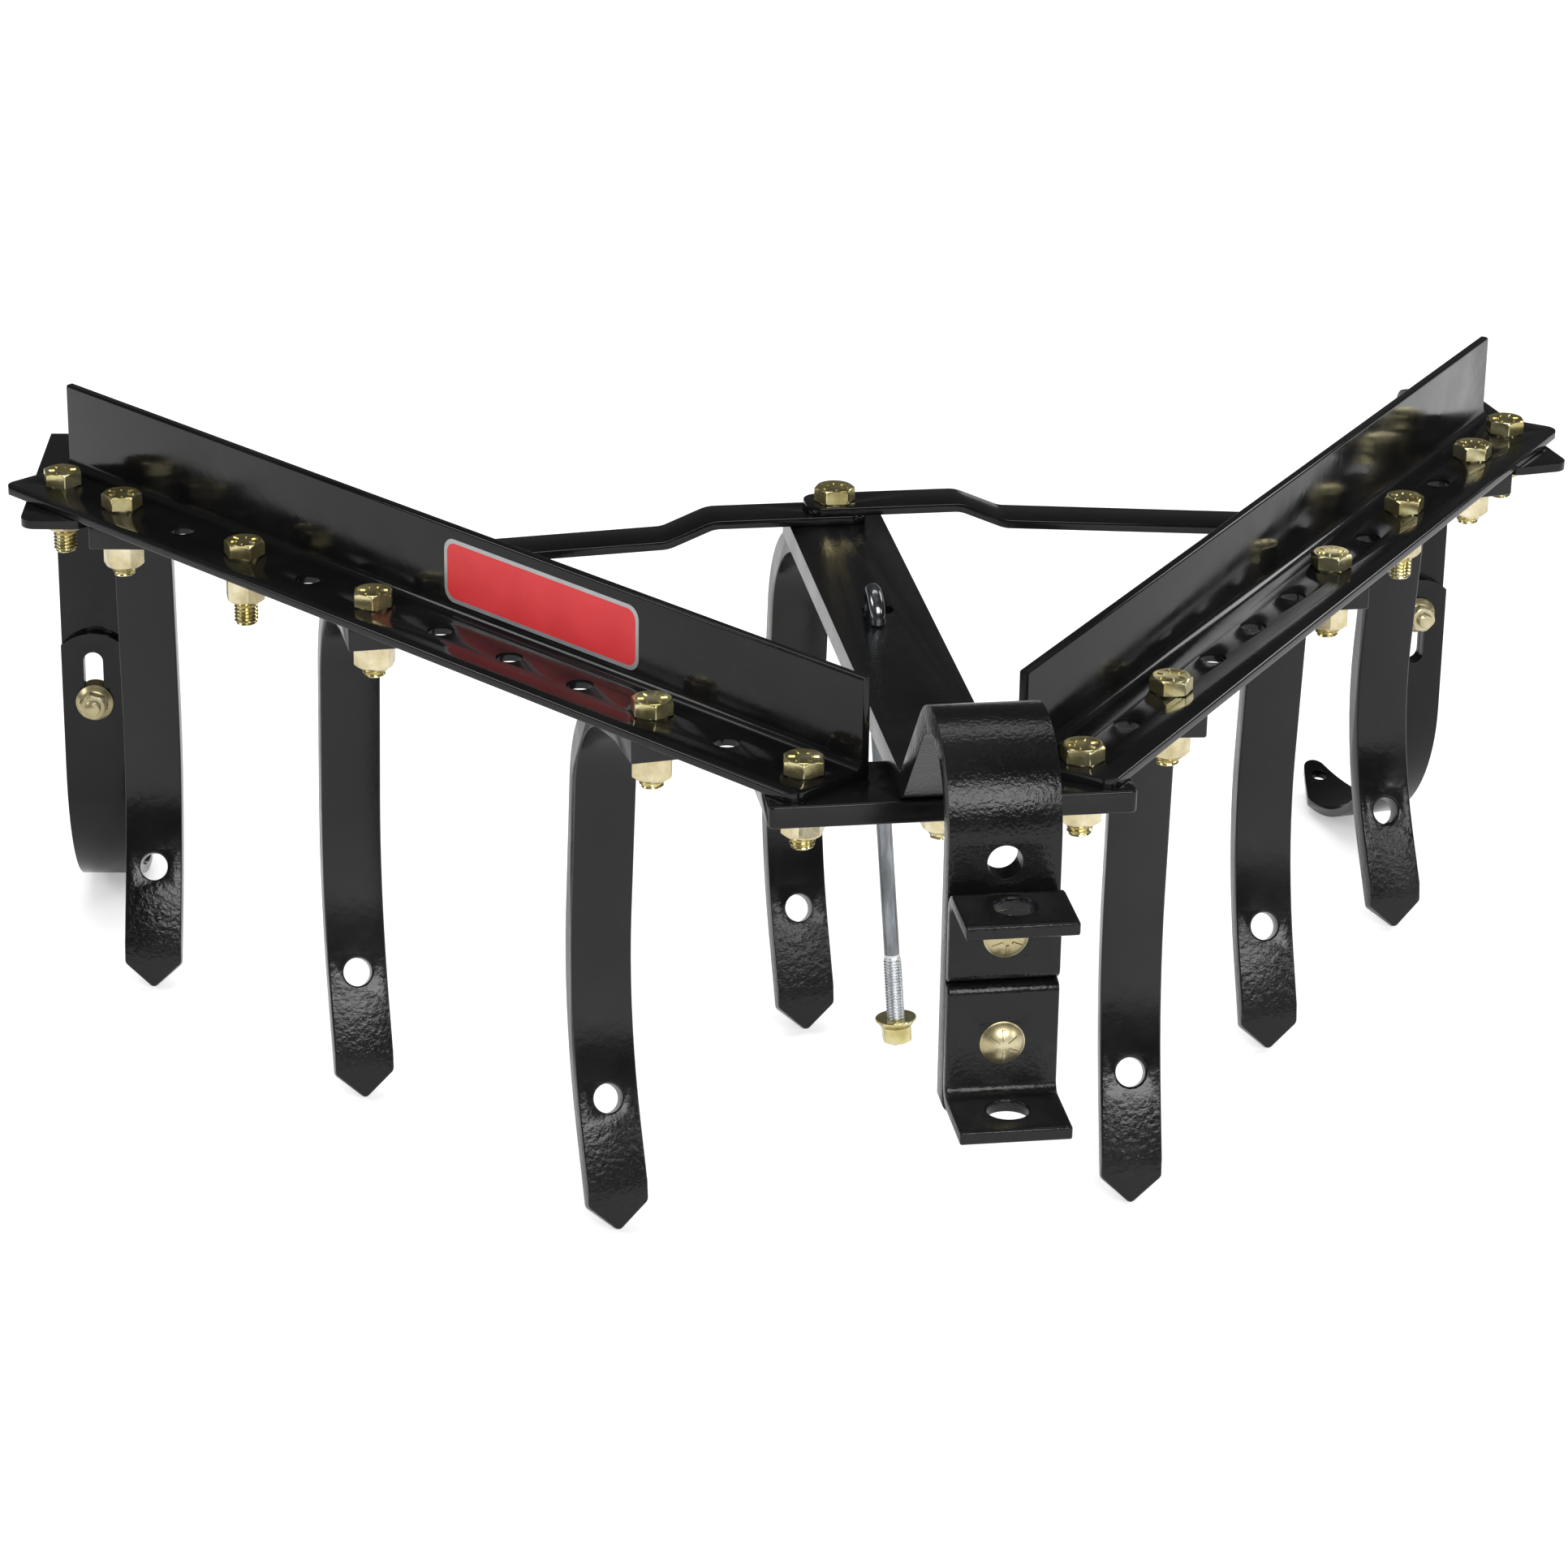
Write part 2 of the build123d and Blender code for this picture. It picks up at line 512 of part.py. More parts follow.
def main():
    """Build every node in the assembly frame and write one file per node."""
    ear_grip = EAR_THICK + BAR_THICK
    shoe_grip = 2 * STRAP_THICK
    right = wing()
    blank_tines = {run: tine(run) for run in sorted({row[4] for row in TINES})}
    bracket, shoe = shoe_bracket(), gauge_shoe()
    left_seat = BAR_THICK
    right_seat = BAR_THICK + BRACE_THICK
    nodes = {
        "wing_right": right,
        "wing_left": mirror(right, Plane.YZ),
        "wing_plate": wing_plate(),
        "drawbar": drawbar(),
        "brace_left": brace(-1, left_seat),
        "brace_right": brace(1, right_seat),
        "hook_rod": hook_rod(),
        "hook_nut": hook_nut(),
        "frame_bolts": Compound(children=[
            hex_bolt((0, 0, BAR_THICK), CENTRE_BOLT_LENGTH),
            hex_bolt((0, REAR_BOLT_Y, right_seat + BRACE_THICK), REAR_BOLT_LENGTH)]),
        "frame_nuts": Compound(children=[
            lock_nut((0, 0, -PLATE_THICK)),
            lock_nut((0, REAR_BOLT_Y, -TINE_THICK))]),
        "hitch_bolts": Compound(children=[
            ear_bolt_frame(ear[2]).location * round_bolt(ear_grip) for ear in EARS]),
        "hitch_nuts": Compound(children=[
            ear_bolt_frame(ear[2]).location * small_nut(ear_grip) for ear in EARS]),
    }
    for name, flange_z, bolt_z, web_end, up in EARS:
        nodes[f"hitch_ear_{name}"] = hitch_ear(flange_z, bolt_z, web_end, up)
    for name, side in (("left", -1), ("right", 1)):
        nodes[f"wing_bolts_{name}"] = wing_bolts(side)
        nodes[f"wing_nuts_{name}"] = wing_nuts(side)
    for name, side, hole, turn, run in TINES:
        nodes[name] = place(side, hole, turn) * blank_tines[run]
    shoe_bolts, shoe_nuts = [], []
    for name, side, turn, bolt_z in SHOES:
        spot = place(side, HOLE_COUNT, turn)
        nodes[f"shoe_bracket_{name}"] = spot * bracket
        nodes[f"gauge_shoe_{name}"] = spot * shoe
        shoe_bolts.append(spot * shoe_bolt_frame(bolt_z).location * round_bolt(shoe_grip))
        shoe_nuts.append(spot * shoe_bolt_frame(bolt_z).location * small_nut(shoe_grip))
    nodes["shoe_bolts"] = Compound(children=shoe_bolts)
    nodes["shoe_nuts"] = Compound(children=shoe_nuts)
    os.makedirs("parts", exist_ok=True)
    datum = Pos(0, -PIN_Y, -PIN_Z)
    for name, shape in nodes.items():
        export_step(datum * shape, f"parts/{name}.step")


main()
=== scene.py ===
"""Dresses the tow-behind cultivator: painted steel bars, plated fasteners, a loose hook rod and a
blank panel. Lengths are millimetres in the frame's own layout (origin below) and become metres
when a mesh is written: X to the right, Y to the rear, Z up, Z = 0 on the wings' underside."""

import logging
import math
from dataclasses import dataclass, field
from enum import Enum
from typing import Callable, Iterable, Sequence

import bmesh
import bpy
from mathutils import Matrix, Vector


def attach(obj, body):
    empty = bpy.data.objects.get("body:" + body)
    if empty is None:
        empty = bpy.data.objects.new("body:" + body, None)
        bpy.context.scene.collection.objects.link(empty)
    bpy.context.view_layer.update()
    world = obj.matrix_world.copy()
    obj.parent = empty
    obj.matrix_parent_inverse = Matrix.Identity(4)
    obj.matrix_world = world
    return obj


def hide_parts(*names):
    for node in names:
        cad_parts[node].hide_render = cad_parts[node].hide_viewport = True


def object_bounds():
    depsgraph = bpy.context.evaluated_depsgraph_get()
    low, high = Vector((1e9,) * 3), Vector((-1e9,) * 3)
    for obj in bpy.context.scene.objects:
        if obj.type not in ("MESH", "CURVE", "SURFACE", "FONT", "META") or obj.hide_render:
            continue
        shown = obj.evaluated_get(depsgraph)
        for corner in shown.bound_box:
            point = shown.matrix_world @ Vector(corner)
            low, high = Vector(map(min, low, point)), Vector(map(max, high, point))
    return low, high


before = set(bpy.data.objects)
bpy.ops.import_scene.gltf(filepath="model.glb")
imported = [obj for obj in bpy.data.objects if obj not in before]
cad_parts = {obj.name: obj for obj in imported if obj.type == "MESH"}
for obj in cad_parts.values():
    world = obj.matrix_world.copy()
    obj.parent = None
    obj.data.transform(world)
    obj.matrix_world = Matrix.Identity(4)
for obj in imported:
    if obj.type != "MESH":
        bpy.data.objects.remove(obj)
CAD_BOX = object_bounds()

MM = 0.001
DATUM = Vector((0.0, 174.5, 42.7))
BAR_WIDTH = 50.8
PIVOT_X = 66.5
HOLE_PITCH = 50.8
SWEEP = math.radians(36.87)
BOLT_D = 12.7
HOLE_D = 13.5
WING_WALL = 4.76
FLOOR_Z = -308.0
HEX_BREAK = 0.16
SMOOTH_ANGLE = 38.0
THREAD_DEPTH = 0.54
THREAD_ROWS = 6
REAR_BOLT_Y = 8 * HOLE_PITCH * math.cos(SWEEP)
LOG = logging.getLogger("cultivator")

Point = tuple[float, float]


class Body(Enum):
    """Rigid bodies of the frame that pieces ride on."""

    FRAME = "frame"
    SHOE_LEFT = "shoe_left"
    SHOE_RIGHT = "shoe_right"
    HOOK = "hook"


class Side(Enum):
    """Side of the cultivator, with its sign along X."""

    LEFT = -1
    RIGHT = 1

    @property
    def word(self) -> str:
        """The side as a word in piece names."""
        return self.name.lower()


@dataclass(frozen=True)
class Finish:
    """Surface of a piece, a node material that is built on its first use.

    Attributes:
        name: Material name.
    """

    name: str

    def material(self) -> bpy.types.Material:
        """Find the material, or build it.

        Returns:
            The finished material.
        """
        made = bpy.data.materials.get(self.name)
        if made is None:
            made, tree, shader = new_material(self.name)
            self.coat(tree, shader)
        return made

    def coat(self, tree: bpy.types.NodeTree, shader: bpy.types.Node) -> None:
        """Build the nodes of the coat, in each kind of finish."""
        raise NotImplementedError


@dataclass(frozen=True)
class PowderPaint(Finish):
    """Black powder paint: glossy, faintly dimpled, rougher where the coat is thick or rubbed.

    Attributes:
        gloss: Roughness of the clean coat.
        peel: Strength of the orange-peel bump.
        grain: Strength of the coarser wrinkled bump.
        grain_scale: Wrinkles per metre.
        foot_wrinkle: Strength of the wrinkles where the coat ran together low down, 0 for none.
        shine: Specular level of the coat.
    """

    gloss: float = 0.08
    peel: float = 0.06
    grain: float = 0.05
    grain_scale: float = 210.0
    foot_wrinkle: float = 0.0
    shine: float = 0.28

    def coat(self, tree: bpy.types.NodeTree, shader: bpy.types.Node) -> None:
        """Build the nodes of the coat.

        Args:
            tree: Material tree.
            shader: Its surface shader.
        """
        spots = noise(tree, 9.0, 5.0, 0.55)
        tint = ramp(tree, spots.outputs["Fac"], [(0.30, (0.0025, 0.0026, 0.0030)), (0.52, (0.0045, 0.0045, 0.0048)),
                                                 (0.72, (0.0090, 0.0088, 0.0085))])
        dust = noise(tree, 140.0, 3.0, 0.7)
        dusty = ramp(tree, dust.outputs["Fac"], [(0.60, (0.0, 0.0, 0.0)), (0.80, (0.016, 0.016, 0.016))])
        mixed = mix_colour(tree, "ADD", 0.35, tint, dusty)
        link(tree, mixed, shader.inputs["Base Color"])
        smear = noise(tree, 26.0, 6.0, 0.6)
        rough = spread(tree, smear.outputs["Fac"], 0.35, 0.70, self.gloss, self.gloss + 0.13)
        link(tree, rough, shader.inputs["Roughness"])
        fine = noise(tree, 900.0, 2.0, 0.5)
        coarse = noise(tree, self.grain_scale, 3.0, 0.5)
        first = bump(tree, coarse.outputs["Fac"], self.grain, 0.0007)
        surface = bump(tree, fine.outputs["Fac"], self.peel, 0.0002, first)
        if self.foot_wrinkle:
            surface = self.wrinkled(tree, surface)
        link(tree, surface, shader.inputs["Normal"])
        shader.inputs["Specular IOR Level"].default_value = self.shine

    def wrinkled(self, tree: bpy.types.NodeTree, under: bpy.types.NodeSocket) -> bpy.types.NodeSocket:
        """Add wrinkles that grow towards the floor.

        Args:
            tree: Material tree.
            under: Normal of the bump below.

        Returns:
            The normal socket.
        """
        folds = noise(tree, 300.0, 4.0, 0.55)
        height = tree.nodes.new("ShaderNodeSeparateXYZ")
        link(tree, tree.nodes["object_space"].outputs["Object"], height.inputs["Vector"])
        low = (FLOOR_Z + DATUM.z) * MM
        strength = spread(tree, height.outputs["Z"], low + 0.045, low + 0.085, self.foot_wrinkle, 0.0)
        normal = bump(tree, folds.outputs["Fac"], 1.0, 0.0007, under)
        link(tree, strength, normal.node.inputs["Strength"])
        return normal


@dataclass(frozen=True)
class Plating(Finish):
    """Thin zinc plating, bright or yellow, with clouds of tone and fine scratches.

    Attributes:
        tones: Three base colours from dark to light.
        gloss: Roughness of the brightest spots.
        drawn: How much the clouds are drawn out along Z, 1 for not at all.
    """

    tones: tuple[tuple[float, float, float], ...]
    gloss: float
    drawn: float = 1.0

    def coat(self, tree: bpy.types.NodeTree, shader: bpy.types.Node) -> None:
        """Build the nodes of the coat.

        Args:
            tree: Material tree.
            shader: Its surface shader.
        """
        clouds = noise(tree, 60.0 * math.sqrt(self.drawn), 4.0, 0.6, self.drawn)
        stops = [(0.28 + 0.20 * i, tone) for i, tone in enumerate(self.tones)]
        link(tree, ramp(tree, clouds.outputs["Fac"], stops), shader.inputs["Base Color"])
        shader.inputs["Metallic"].default_value = 0.92
        smear = noise(tree, 180.0, 4.0, 0.6)
        link(tree, spread(tree, smear.outputs["Fac"], 0.3, 0.7, self.gloss, self.gloss + 0.12),
             shader.inputs["Roughness"])
        fine = noise(tree, 700.0, 2.0, 0.5)
        link(tree, bump(tree, fine.outputs["Fac"], 0.06, 0.0002), shader.inputs["Normal"])


@dataclass(frozen=True)
class PrintedFilm(Finish):
    """Self-adhesive film with an even colour, slightly uneven in gloss.

    Attributes:
        colour: Base colour.
        gloss: Roughness of the film.
        metallic: Share of metal in the film.
    """

    colour: tuple[float, float, float]
    gloss: float = 0.38
    metallic: float = 0.0

    def coat(self, tree: bpy.types.NodeTree, shader: bpy.types.Node) -> None:
        """Build the nodes of the coat.

        Args:
            tree: Material tree.
            shader: Its surface shader.
        """
        faded = tuple(min(1.0, c * 1.10 + 0.006) for c in self.colour)
        fading = noise(tree, 45.0, 3.0, 0.6)
        link(tree, ramp(tree, fading.outputs["Fac"], [(0.35, self.colour), (0.75, faded)]),
             shader.inputs["Base Color"])
        smear = noise(tree, 120.0, 3.0, 0.5)
        link(tree, spread(tree, smear.outputs["Fac"], 0.3, 0.7, self.gloss, self.gloss + 0.1),
             shader.inputs["Roughness"])
        shader.inputs["Metallic"].default_value = self.metallic


BLACK = PowderPaint("black_powder_paint")
BLACK_TINE = PowderPaint("black_powder_paint_tine", 0.15, 0.10, 0.12, foot_wrinkle=0.8, shine=0.38)
BLACK_ROUGH = PowderPaint("black_powder_paint_thick", 0.13, 0.14, 0.40, 560.0)
YELLOW_ZINC = Plating("yellow_zinc_plating", ((0.40, 0.33, 0.12), (0.66, 0.58, 0.28), (0.84, 0.79, 0.50)), 0.12)
PALE_ZINC = Plating("pale_zinc_plating", ((0.42, 0.35, 0.19), (0.63, 0.55, 0.34), (0.80, 0.74, 0.54)), 0.19)
ROUND_ZINC = Plating("rough_zinc_plating", ((0.30, 0.25, 0.13), (0.46, 0.40, 0.23), (0.62, 0.56, 0.37)), 0.30)
CLEAR_ZINC = Plating("clear_zinc_plating", ((0.09, 0.10, 0.10), (0.16, 0.17, 0.18), (0.32, 0.34, 0.36)), 0.09, 6.0)
THREAD_ZINC = Plating("thread_zinc_plating", ((0.52, 0.56, 0.60), (0.68, 0.71, 0.74), (0.82, 0.84, 0.85)), 0.30)
RED_FILM = PrintedFilm("red_film", (0.58, 0.028, 0.032))
SILVER_FILM = PrintedFilm("silver_film", (0.42, 0.43, 0.44), 0.32, 0.6)


def new_material(name: str) -> tuple[bpy.types.Material, bpy.types.NodeTree, bpy.types.Node]:
    """Start a node material.

    Args:
        name: Material name.

    Returns:
        The material, its tree and its surface shader.
    """
    made = bpy.data.materials.new(name)
    made.use_nodes = True
    return made, made.node_tree, made.node_tree.nodes["Principled BSDF"]


def link(tree: bpy.types.NodeTree, start: bpy.types.NodeSocket, end: bpy.types.NodeSocket) -> None:
    """Join two sockets of a tree."""
    tree.links.new(start, end)


def noise(tree: bpy.types.NodeTree, scale: float, detail: float, rough: float,
          drawn: float = 1.0) -> bpy.types.Node:
    """Add a noise texture in object space.

    Args:
        tree: Material tree.
        scale: Cells per metre.
        detail: Octaves.
        rough: Share of the finer octaves.
        drawn: Length of a cell along Z for its width.

    Returns:
        The noise node.
    """
    place = tree.nodes.get("object_space") or tree.nodes.new("ShaderNodeTexCoord")
    place.name = "object_space"
    node = tree.nodes.new("ShaderNodeTexNoise")
    node.inputs["Scale"].default_value = scale
    node.inputs["Detail"].default_value = detail
    node.inputs["Roughness"].default_value = rough
    if drawn == 1.0:
        link(tree, place.outputs["Object"], node.inputs["Vector"])
        return node
    squeeze = tree.nodes.new("ShaderNodeMapping")
    squeeze.inputs["Scale"].default_value = (1.0, 1.0, 1.0 / drawn)
    link(tree, place.outputs["Object"], squeeze.inputs["Vector"])
    link(tree, squeeze.outputs["Vector"], node.inputs["Vector"])
    return node


def ramp(tree: bpy.types.NodeTree, value: bpy.types.NodeSocket,
         stops: Sequence[tuple[float, tuple[float, float, float]]]) -> bpy.types.NodeSocket:
    """Turn a value into a colour through a ramp.

    Args:
        tree: Material tree.
        value: Driving socket.
        stops: Positions with their colours, in order.

    Returns:
        The colour socket.
    """
    node = tree.nodes.new("ShaderNodeValToRGB")
    band = node.color_ramp.elements
    while len(band) < len(stops):
        band.new(0.5)
    for element, (place, colour) in zip(band, stops):
        element.position = place
        element.color = (*colour, 1.0)
    link(tree, value, node.inputs["Fac"])
    return node.outputs["Color"]


def spread(tree: bpy.types.NodeTree, value: bpy.types.NodeSocket, low: float, high: float,
           first: float, last: float) -> bpy.types.NodeSocket:
    """Map a value from one range to another, clamped.

    Args:
        tree: Material tree.
        value: Driving socket.
        low: Start of the input range.
        high: End of the input range.
        first: Result at the start.
        last: Result at the end.

    Returns:
        The mapped socket.
    """
    node = tree.nodes.new("ShaderNodeMapRange")
    for key, number in (("From Min", low), ("From Max", high), ("To Min", first), ("To Max", last)):
        node.inputs[key].default_value = number
    link(tree, value, node.inputs["Value"])
    return node.outputs["Result"]


def mix_colour(tree: bpy.types.NodeTree, kind: str, share: float, first: bpy.types.NodeSocket,
               second: bpy.types.NodeSocket) -> bpy.types.NodeSocket:
    """Blend two colours.

    Args:
        tree: Material tree.
        kind: Blend type.
        share: Weight of the second colour.
        first: Lower colour.
        second: Upper colour.

    Returns:
        The blended socket.
    """
    node = tree.nodes.new("ShaderNodeMix")
    node.data_type = "RGBA"
    node.blend_type = kind
    node.inputs[0].default_value = share
    link(tree, first, node.inputs[6])
    link(tree, second, node.inputs[7])
    return node.outputs[2]


def bump(tree: bpy.types.NodeTree, height: bpy.types.NodeSocket, strength: float, distance: float,
         under: bpy.types.NodeSocket | None = None) -> bpy.types.NodeSocket:
    """Add a bump, on top of another where given.

    Args:
        tree: Material tree.
        height: Height socket.
        strength: Bump strength.
        distance: Height of the bump in metres.
        under: Normal of the bump below.

    Returns:
        The normal socket.
    """
    node = tree.nodes.new("ShaderNodeBump")
    node.inputs["Strength"].default_value = strength
    node.inputs["Distance"].default_value = distance
    link(tree, height, node.inputs["Height"])
    if under:
        link(tree, under, node.inputs["Normal"])
    return node.outputs["Normal"]


def bent_line(points: Sequence[Point], radii: Sequence[float], step: float = 4.0) -> list[tuple[Vector, Vector]]:
    """Walk along a bar's centre line with an arc at each corner.

    Args:
        points: Corners as (along, up).
        radii: Centre-line radius at each inner corner.
        step: Degrees of arc between two stations.

    Returns:
        Stations as (place, left-hand normal).
    """
    corners = [Vector(p) for p in points]
    stations: list[tuple[Vector, Vector]] = []
    ways = [(b - a).normalized() for a, b in zip(corners, corners[1:])]
    lefts = [Vector((-w.y, w.x)) for w in ways]
    stations.append((corners[0], lefts[0]))
    for i, radius in enumerate(radii):
        turn = math.atan2(ways[i].x * ways[i + 1].y - ways[i].y * ways[i + 1].x, ways[i].dot(ways[i + 1]))
        start = corners[i + 1] - ways[i] * radius * math.tan(abs(turn) / 2)
        hand = math.copysign(1.0, turn)
        centre = start + lefts[i] * hand * radius
        count = max(2, math.ceil(abs(math.degrees(turn)) / step))
        for k in range(count + 1):
            spin = Matrix.Rotation(turn * k / count, 2)
            stations.append((centre + spin @ (start - centre), spin @ lefts[i]))
    stations.append((corners[-1], lefts[-1]))
    return stations


def skin(mesh: bmesh.types.BMesh, rings: Sequence[Sequence[bmesh.types.BMVert]]) -> bmesh.types.BMesh:
    """Close a run of rings of vertices into a solid.

    Args:
        mesh: Mesh that holds the vertices.
        rings: Rings in order, equal in count.

    Returns:
        The same mesh.
    """
    for ring, after in zip(rings, rings[1:]):
        for k, vert in enumerate(ring):
            j = (k + 1) % len(ring)
            mesh.faces.new((vert, ring[j], after[j], after[k]))
    mesh.faces.new(list(reversed(rings[0])))
    mesh.faces.new(rings[-1])
    bmesh.ops.recalc_face_normals(mesh, faces=mesh.faces)
    return mesh


def swept_bar(points: Sequence[Point], radii: Sequence[float], thick: float, width: float) -> bmesh.types.BMesh:
    """Sweep a flat bar's section along its bent centre line.

    Args:
        points: Corners of the centre line as (along, up).
        radii: Centre-line radius at each inner corner.
        thick: Bar thickness in the plane of the bends.
        width: Bar width across it.

    Returns:
        A closed mesh with X across, Y along and Z up.
    """
    mesh = bmesh.new()
    rings: list[list[bmesh.types.BMVert]] = []
    for place, left in bent_line(points, radii):
        ring = []
        for across, away in ((-1, -1), (1, -1), (1, 1), (-1, 1)):
            spot = place + left * away * thick / 2
            ring.append(mesh.verts.new((across * width / 2, spot.x, spot.y)))
        rings.append(ring)
    return skin(mesh, rings)


def prism(outline: Iterable[Point], low: float, high: float) -> bmesh.types.BMesh:
    """Raise an outline in the XY plane into a closed prism.

    Args:
        outline: Corners in order.
        low: Height of the foot.
        high: Height of the top.

    Returns:
        The closed mesh.
    """
    mesh = bmesh.new()
    foot = [mesh.verts.new((x, y, low)) for x, y in outline]
    top = [mesh.verts.new((v.co.x, v.co.y, high)) for v in foot]
    mesh.faces.new(list(reversed(foot)))
    mesh.faces.new(top)
    for i, vert in enumerate(foot):
        j = (i + 1) % len(foot)
        mesh.faces.new((vert, foot[j], top[j], top[i]))
    bmesh.ops.recalc_face_normals(mesh, faces=mesh.faces)
    return mesh


def rounded(corners: Sequence[Point], radii: Sequence[float], steps: int = 8) -> list[Point]:
    """Round the corners of a convex or concave outline.

    Args:
        corners: Corners in order.
        radii: Radius at each corner, 0 for a sharp one.
        steps: Segments per corner.

    Returns:
        The outline with its arcs.
    """
    outline: list[Point] = []
    count = len(corners)
    for i, radius in enumerate(radii):
        here = Vector(corners[i])
        back = (Vector(corners[i - 1]) - here).normalized()
        ahead = (Vector(corners[(i + 1) % count]) - here).normalized()
        if radius <= 0:
            outline.append((here.x, here.y))
            continue
        half = back.angle(ahead) / 2
        centre = here + (back + ahead).normalized() * (radius / math.sin(half))
        start = here + back * (radius / math.tan(half)) - centre
        end = here + ahead * (radius / math.tan(half)) - centre
        swing = math.atan2(start.x * end.y - start.y * end.x, start.dot(end))
        for k in range(steps + 1):
            spot = centre + Matrix.Rotation(swing * k / steps, 2) @ start
            outline.append((spot.x, spot.y))
    return outline


def turned(rows: Sequence[tuple[float, float]], flats: float = 0.0, cone: Callable[[float], float] | None = None,
           count: int = 60) -> bmesh.types.BMesh:
    """Turn a profile about Z, cut to a hexagon where its rows reach past the flats.

    Args:
        rows: Profile as (radius, height), from foot to top, closed by its end rows.
        flats: Distance across flats, 0 for a round piece.
        cone: Largest radius at each height, for turned corners.
        count: Segments around, a multiple of 12.

    Returns:
        The closed mesh.
    """
    mesh = bmesh.new()
    rings = []
    for radius, height in rows:
        ring = []
        for k in range(count):
            angle = 2 * math.pi * k / count
            reach = radius
            if flats:
                fold = (angle + math.pi / 6) % (math.pi / 3) - math.pi / 6
                gathered = math.pi / 6 * math.sin(3 * fold)
                angle += gathered - fold
                reach = min(radius, flats / 2 / math.cos(gathered), flats / 2 / math.cos(math.pi / 6) - HEX_BREAK)
            if cone:
                reach = min(reach, cone(height))
            ring.append(mesh.verts.new((reach * math.cos(angle), reach * math.sin(angle), height)))
        rings.append(ring)
    return skin(mesh, rings)


def threaded(diameter: float, pitch: float, foot: float, top: float, count: int = 24) -> bmesh.types.BMesh:
    """Threaded shank about Z with a chamfered foot.

    Args:
        diameter: Outside diameter.
        pitch: Rise per turn.
        foot: Height of the lower end.
        top: Height of the upper end.
        count: Segments around.

    Returns:
        The closed mesh.
    """
    mesh = bmesh.new()
    rows = max(4, round((top - foot) / pitch * THREAD_ROWS))
    depth = THREAD_DEPTH * pitch
    rings = []
    for i in range(rows + 1):
        height = foot + (top - foot) * i / rows
        fade = min(1.0, (height - foot) / pitch)
        ring = []
        for k in range(count):
            phase = (height / pitch - k / count) % 1.0
            groove = depth * (1 - abs(2 * phase - 1))
            radius = diameter / 2 - groove - (1 - fade) * depth * 0.8
            radius = min(radius, diameter / 2 - depth + fade * depth)
            angle = 2 * math.pi * k / count
            ring.append(mesh.verts.new((radius * math.cos(angle), radius * math.sin(angle), height)))
        rings.append(ring)
    return skin(mesh, rings)


def joined(parts: Iterable[tuple[bmesh.types.BMesh, Matrix]]) -> bmesh.types.BMesh:
    """Join meshes into one, each moved by its own matrix, and free them.

    Args:
        parts: Meshes with their matrices.

    Returns:
        The joined mesh.
    """
    whole = bmesh.new()
    for part, move in parts:
        part.transform(move)
        keep = bpy.data.meshes.new("part")
        part.to_mesh(keep)
        part.free()
        whole.from_mesh(keep)
        bpy.data.meshes.remove(keep)
    return whole


def gathered(*parts: bmesh.types.BMesh) -> bmesh.types.BMesh:
    """Join meshes that are in place already."""
    return joined((part, Matrix.Identity(4)) for part in parts)


def shift(x: float = 0.0, y: float = 0.0, z: float = 0.0) -> Matrix:
    """Translation matrix in millimetres."""
    return Matrix.Translation((x, y, z))


def turn(degrees: float, axis: str = "Z") -> Matrix:
    """Rotation matrix about one axis, in degrees."""
    return Matrix.Rotation(math.radians(degrees), 4, axis)


def mirrored(side: Side) -> Matrix:
    """Matrix that mirrors a piece of the right side for the left one."""
    return Matrix.Diagonal((side.value, 1, 1, 1))


def wing_hole(side: int, number: int) -> Point:
    """Place of a numbered wing hole.

    Args:
        side: -1 left, 1 right, 0 for the drawbar's rear bolt.
        number: Hole number, 1 at the pivot.

    Returns:
        Its x and y.
    """
    if side == 0:
        return 0.0, REAR_BOLT_Y
    run = (number - 1) * HOLE_PITCH
    return side * (PIVOT_X + run * math.sin(SWEEP)), run * math.cos(SWEEP)


def solid(name: str, shape: bmesh.types.BMesh, cutters: Sequence[bmesh.types.BMesh], edge: float,
          move: Matrix, steps: int = 3, sharp: float = SMOOTH_ANGLE) -> bpy.types.Object:
    """Cut a shape, round its sharp edges and set it in the frame.

    Args:
        name: Object name.
        shape: Closed mesh in millimetres.
        cutters: Closed meshes to take away.
        edge: Radius of the rounded edges.
        move: Place of the piece in millimetres.
        steps: Segments per rounded edge.
        sharp: Edges sharper than this stay crisp, in degrees.

    Returns:
        The finished object in metres.
    """
    piece = mesh_object(name, shape)
    for cutter in cutters:
        tool = mesh_object(name + "_cutter", cutter)
        cut = piece.modifiers.new("cut", "BOOLEAN")
        cut.operation = "DIFFERENCE"
        cut.solver = "EXACT"
        cut.object = tool
        bake(piece)
        bpy.data.objects.remove(tool)
    if edge > 0:
        tidy = bmesh.new()
        tidy.from_mesh(piece.data)
        bmesh.ops.remove_doubles(tidy, verts=tidy.verts, dist=0.01)
        bmesh.ops.dissolve_limit(tidy, angle_limit=math.radians(0.8), verts=tidy.verts, edges=tidy.edges)
        tidy.to_mesh(piece.data)
        tidy.free()
        soft = piece.modifiers.new("edge", "BEVEL")
        soft.width = edge
        soft.segments = steps
        soft.limit_method = "ANGLE"
        soft.angle_limit = math.radians(32)
        soft.use_clamp_overlap = True
        bake(piece)
    return finished(piece, move, sharp)


def mesh_object(name: str, shape: bmesh.types.BMesh) -> bpy.types.Object:
    """Put a mesh into the scene.

    Args:
        name: Object name.
        shape: Mesh to write, freed afterwards.

    Returns:
        The new object.
    """
    data = bpy.data.meshes.new(name)
    shape.to_mesh(data)
    shape.free()
    made = bpy.data.objects.new(name, data)
    bpy.context.scene.collection.objects.link(made)
    return made


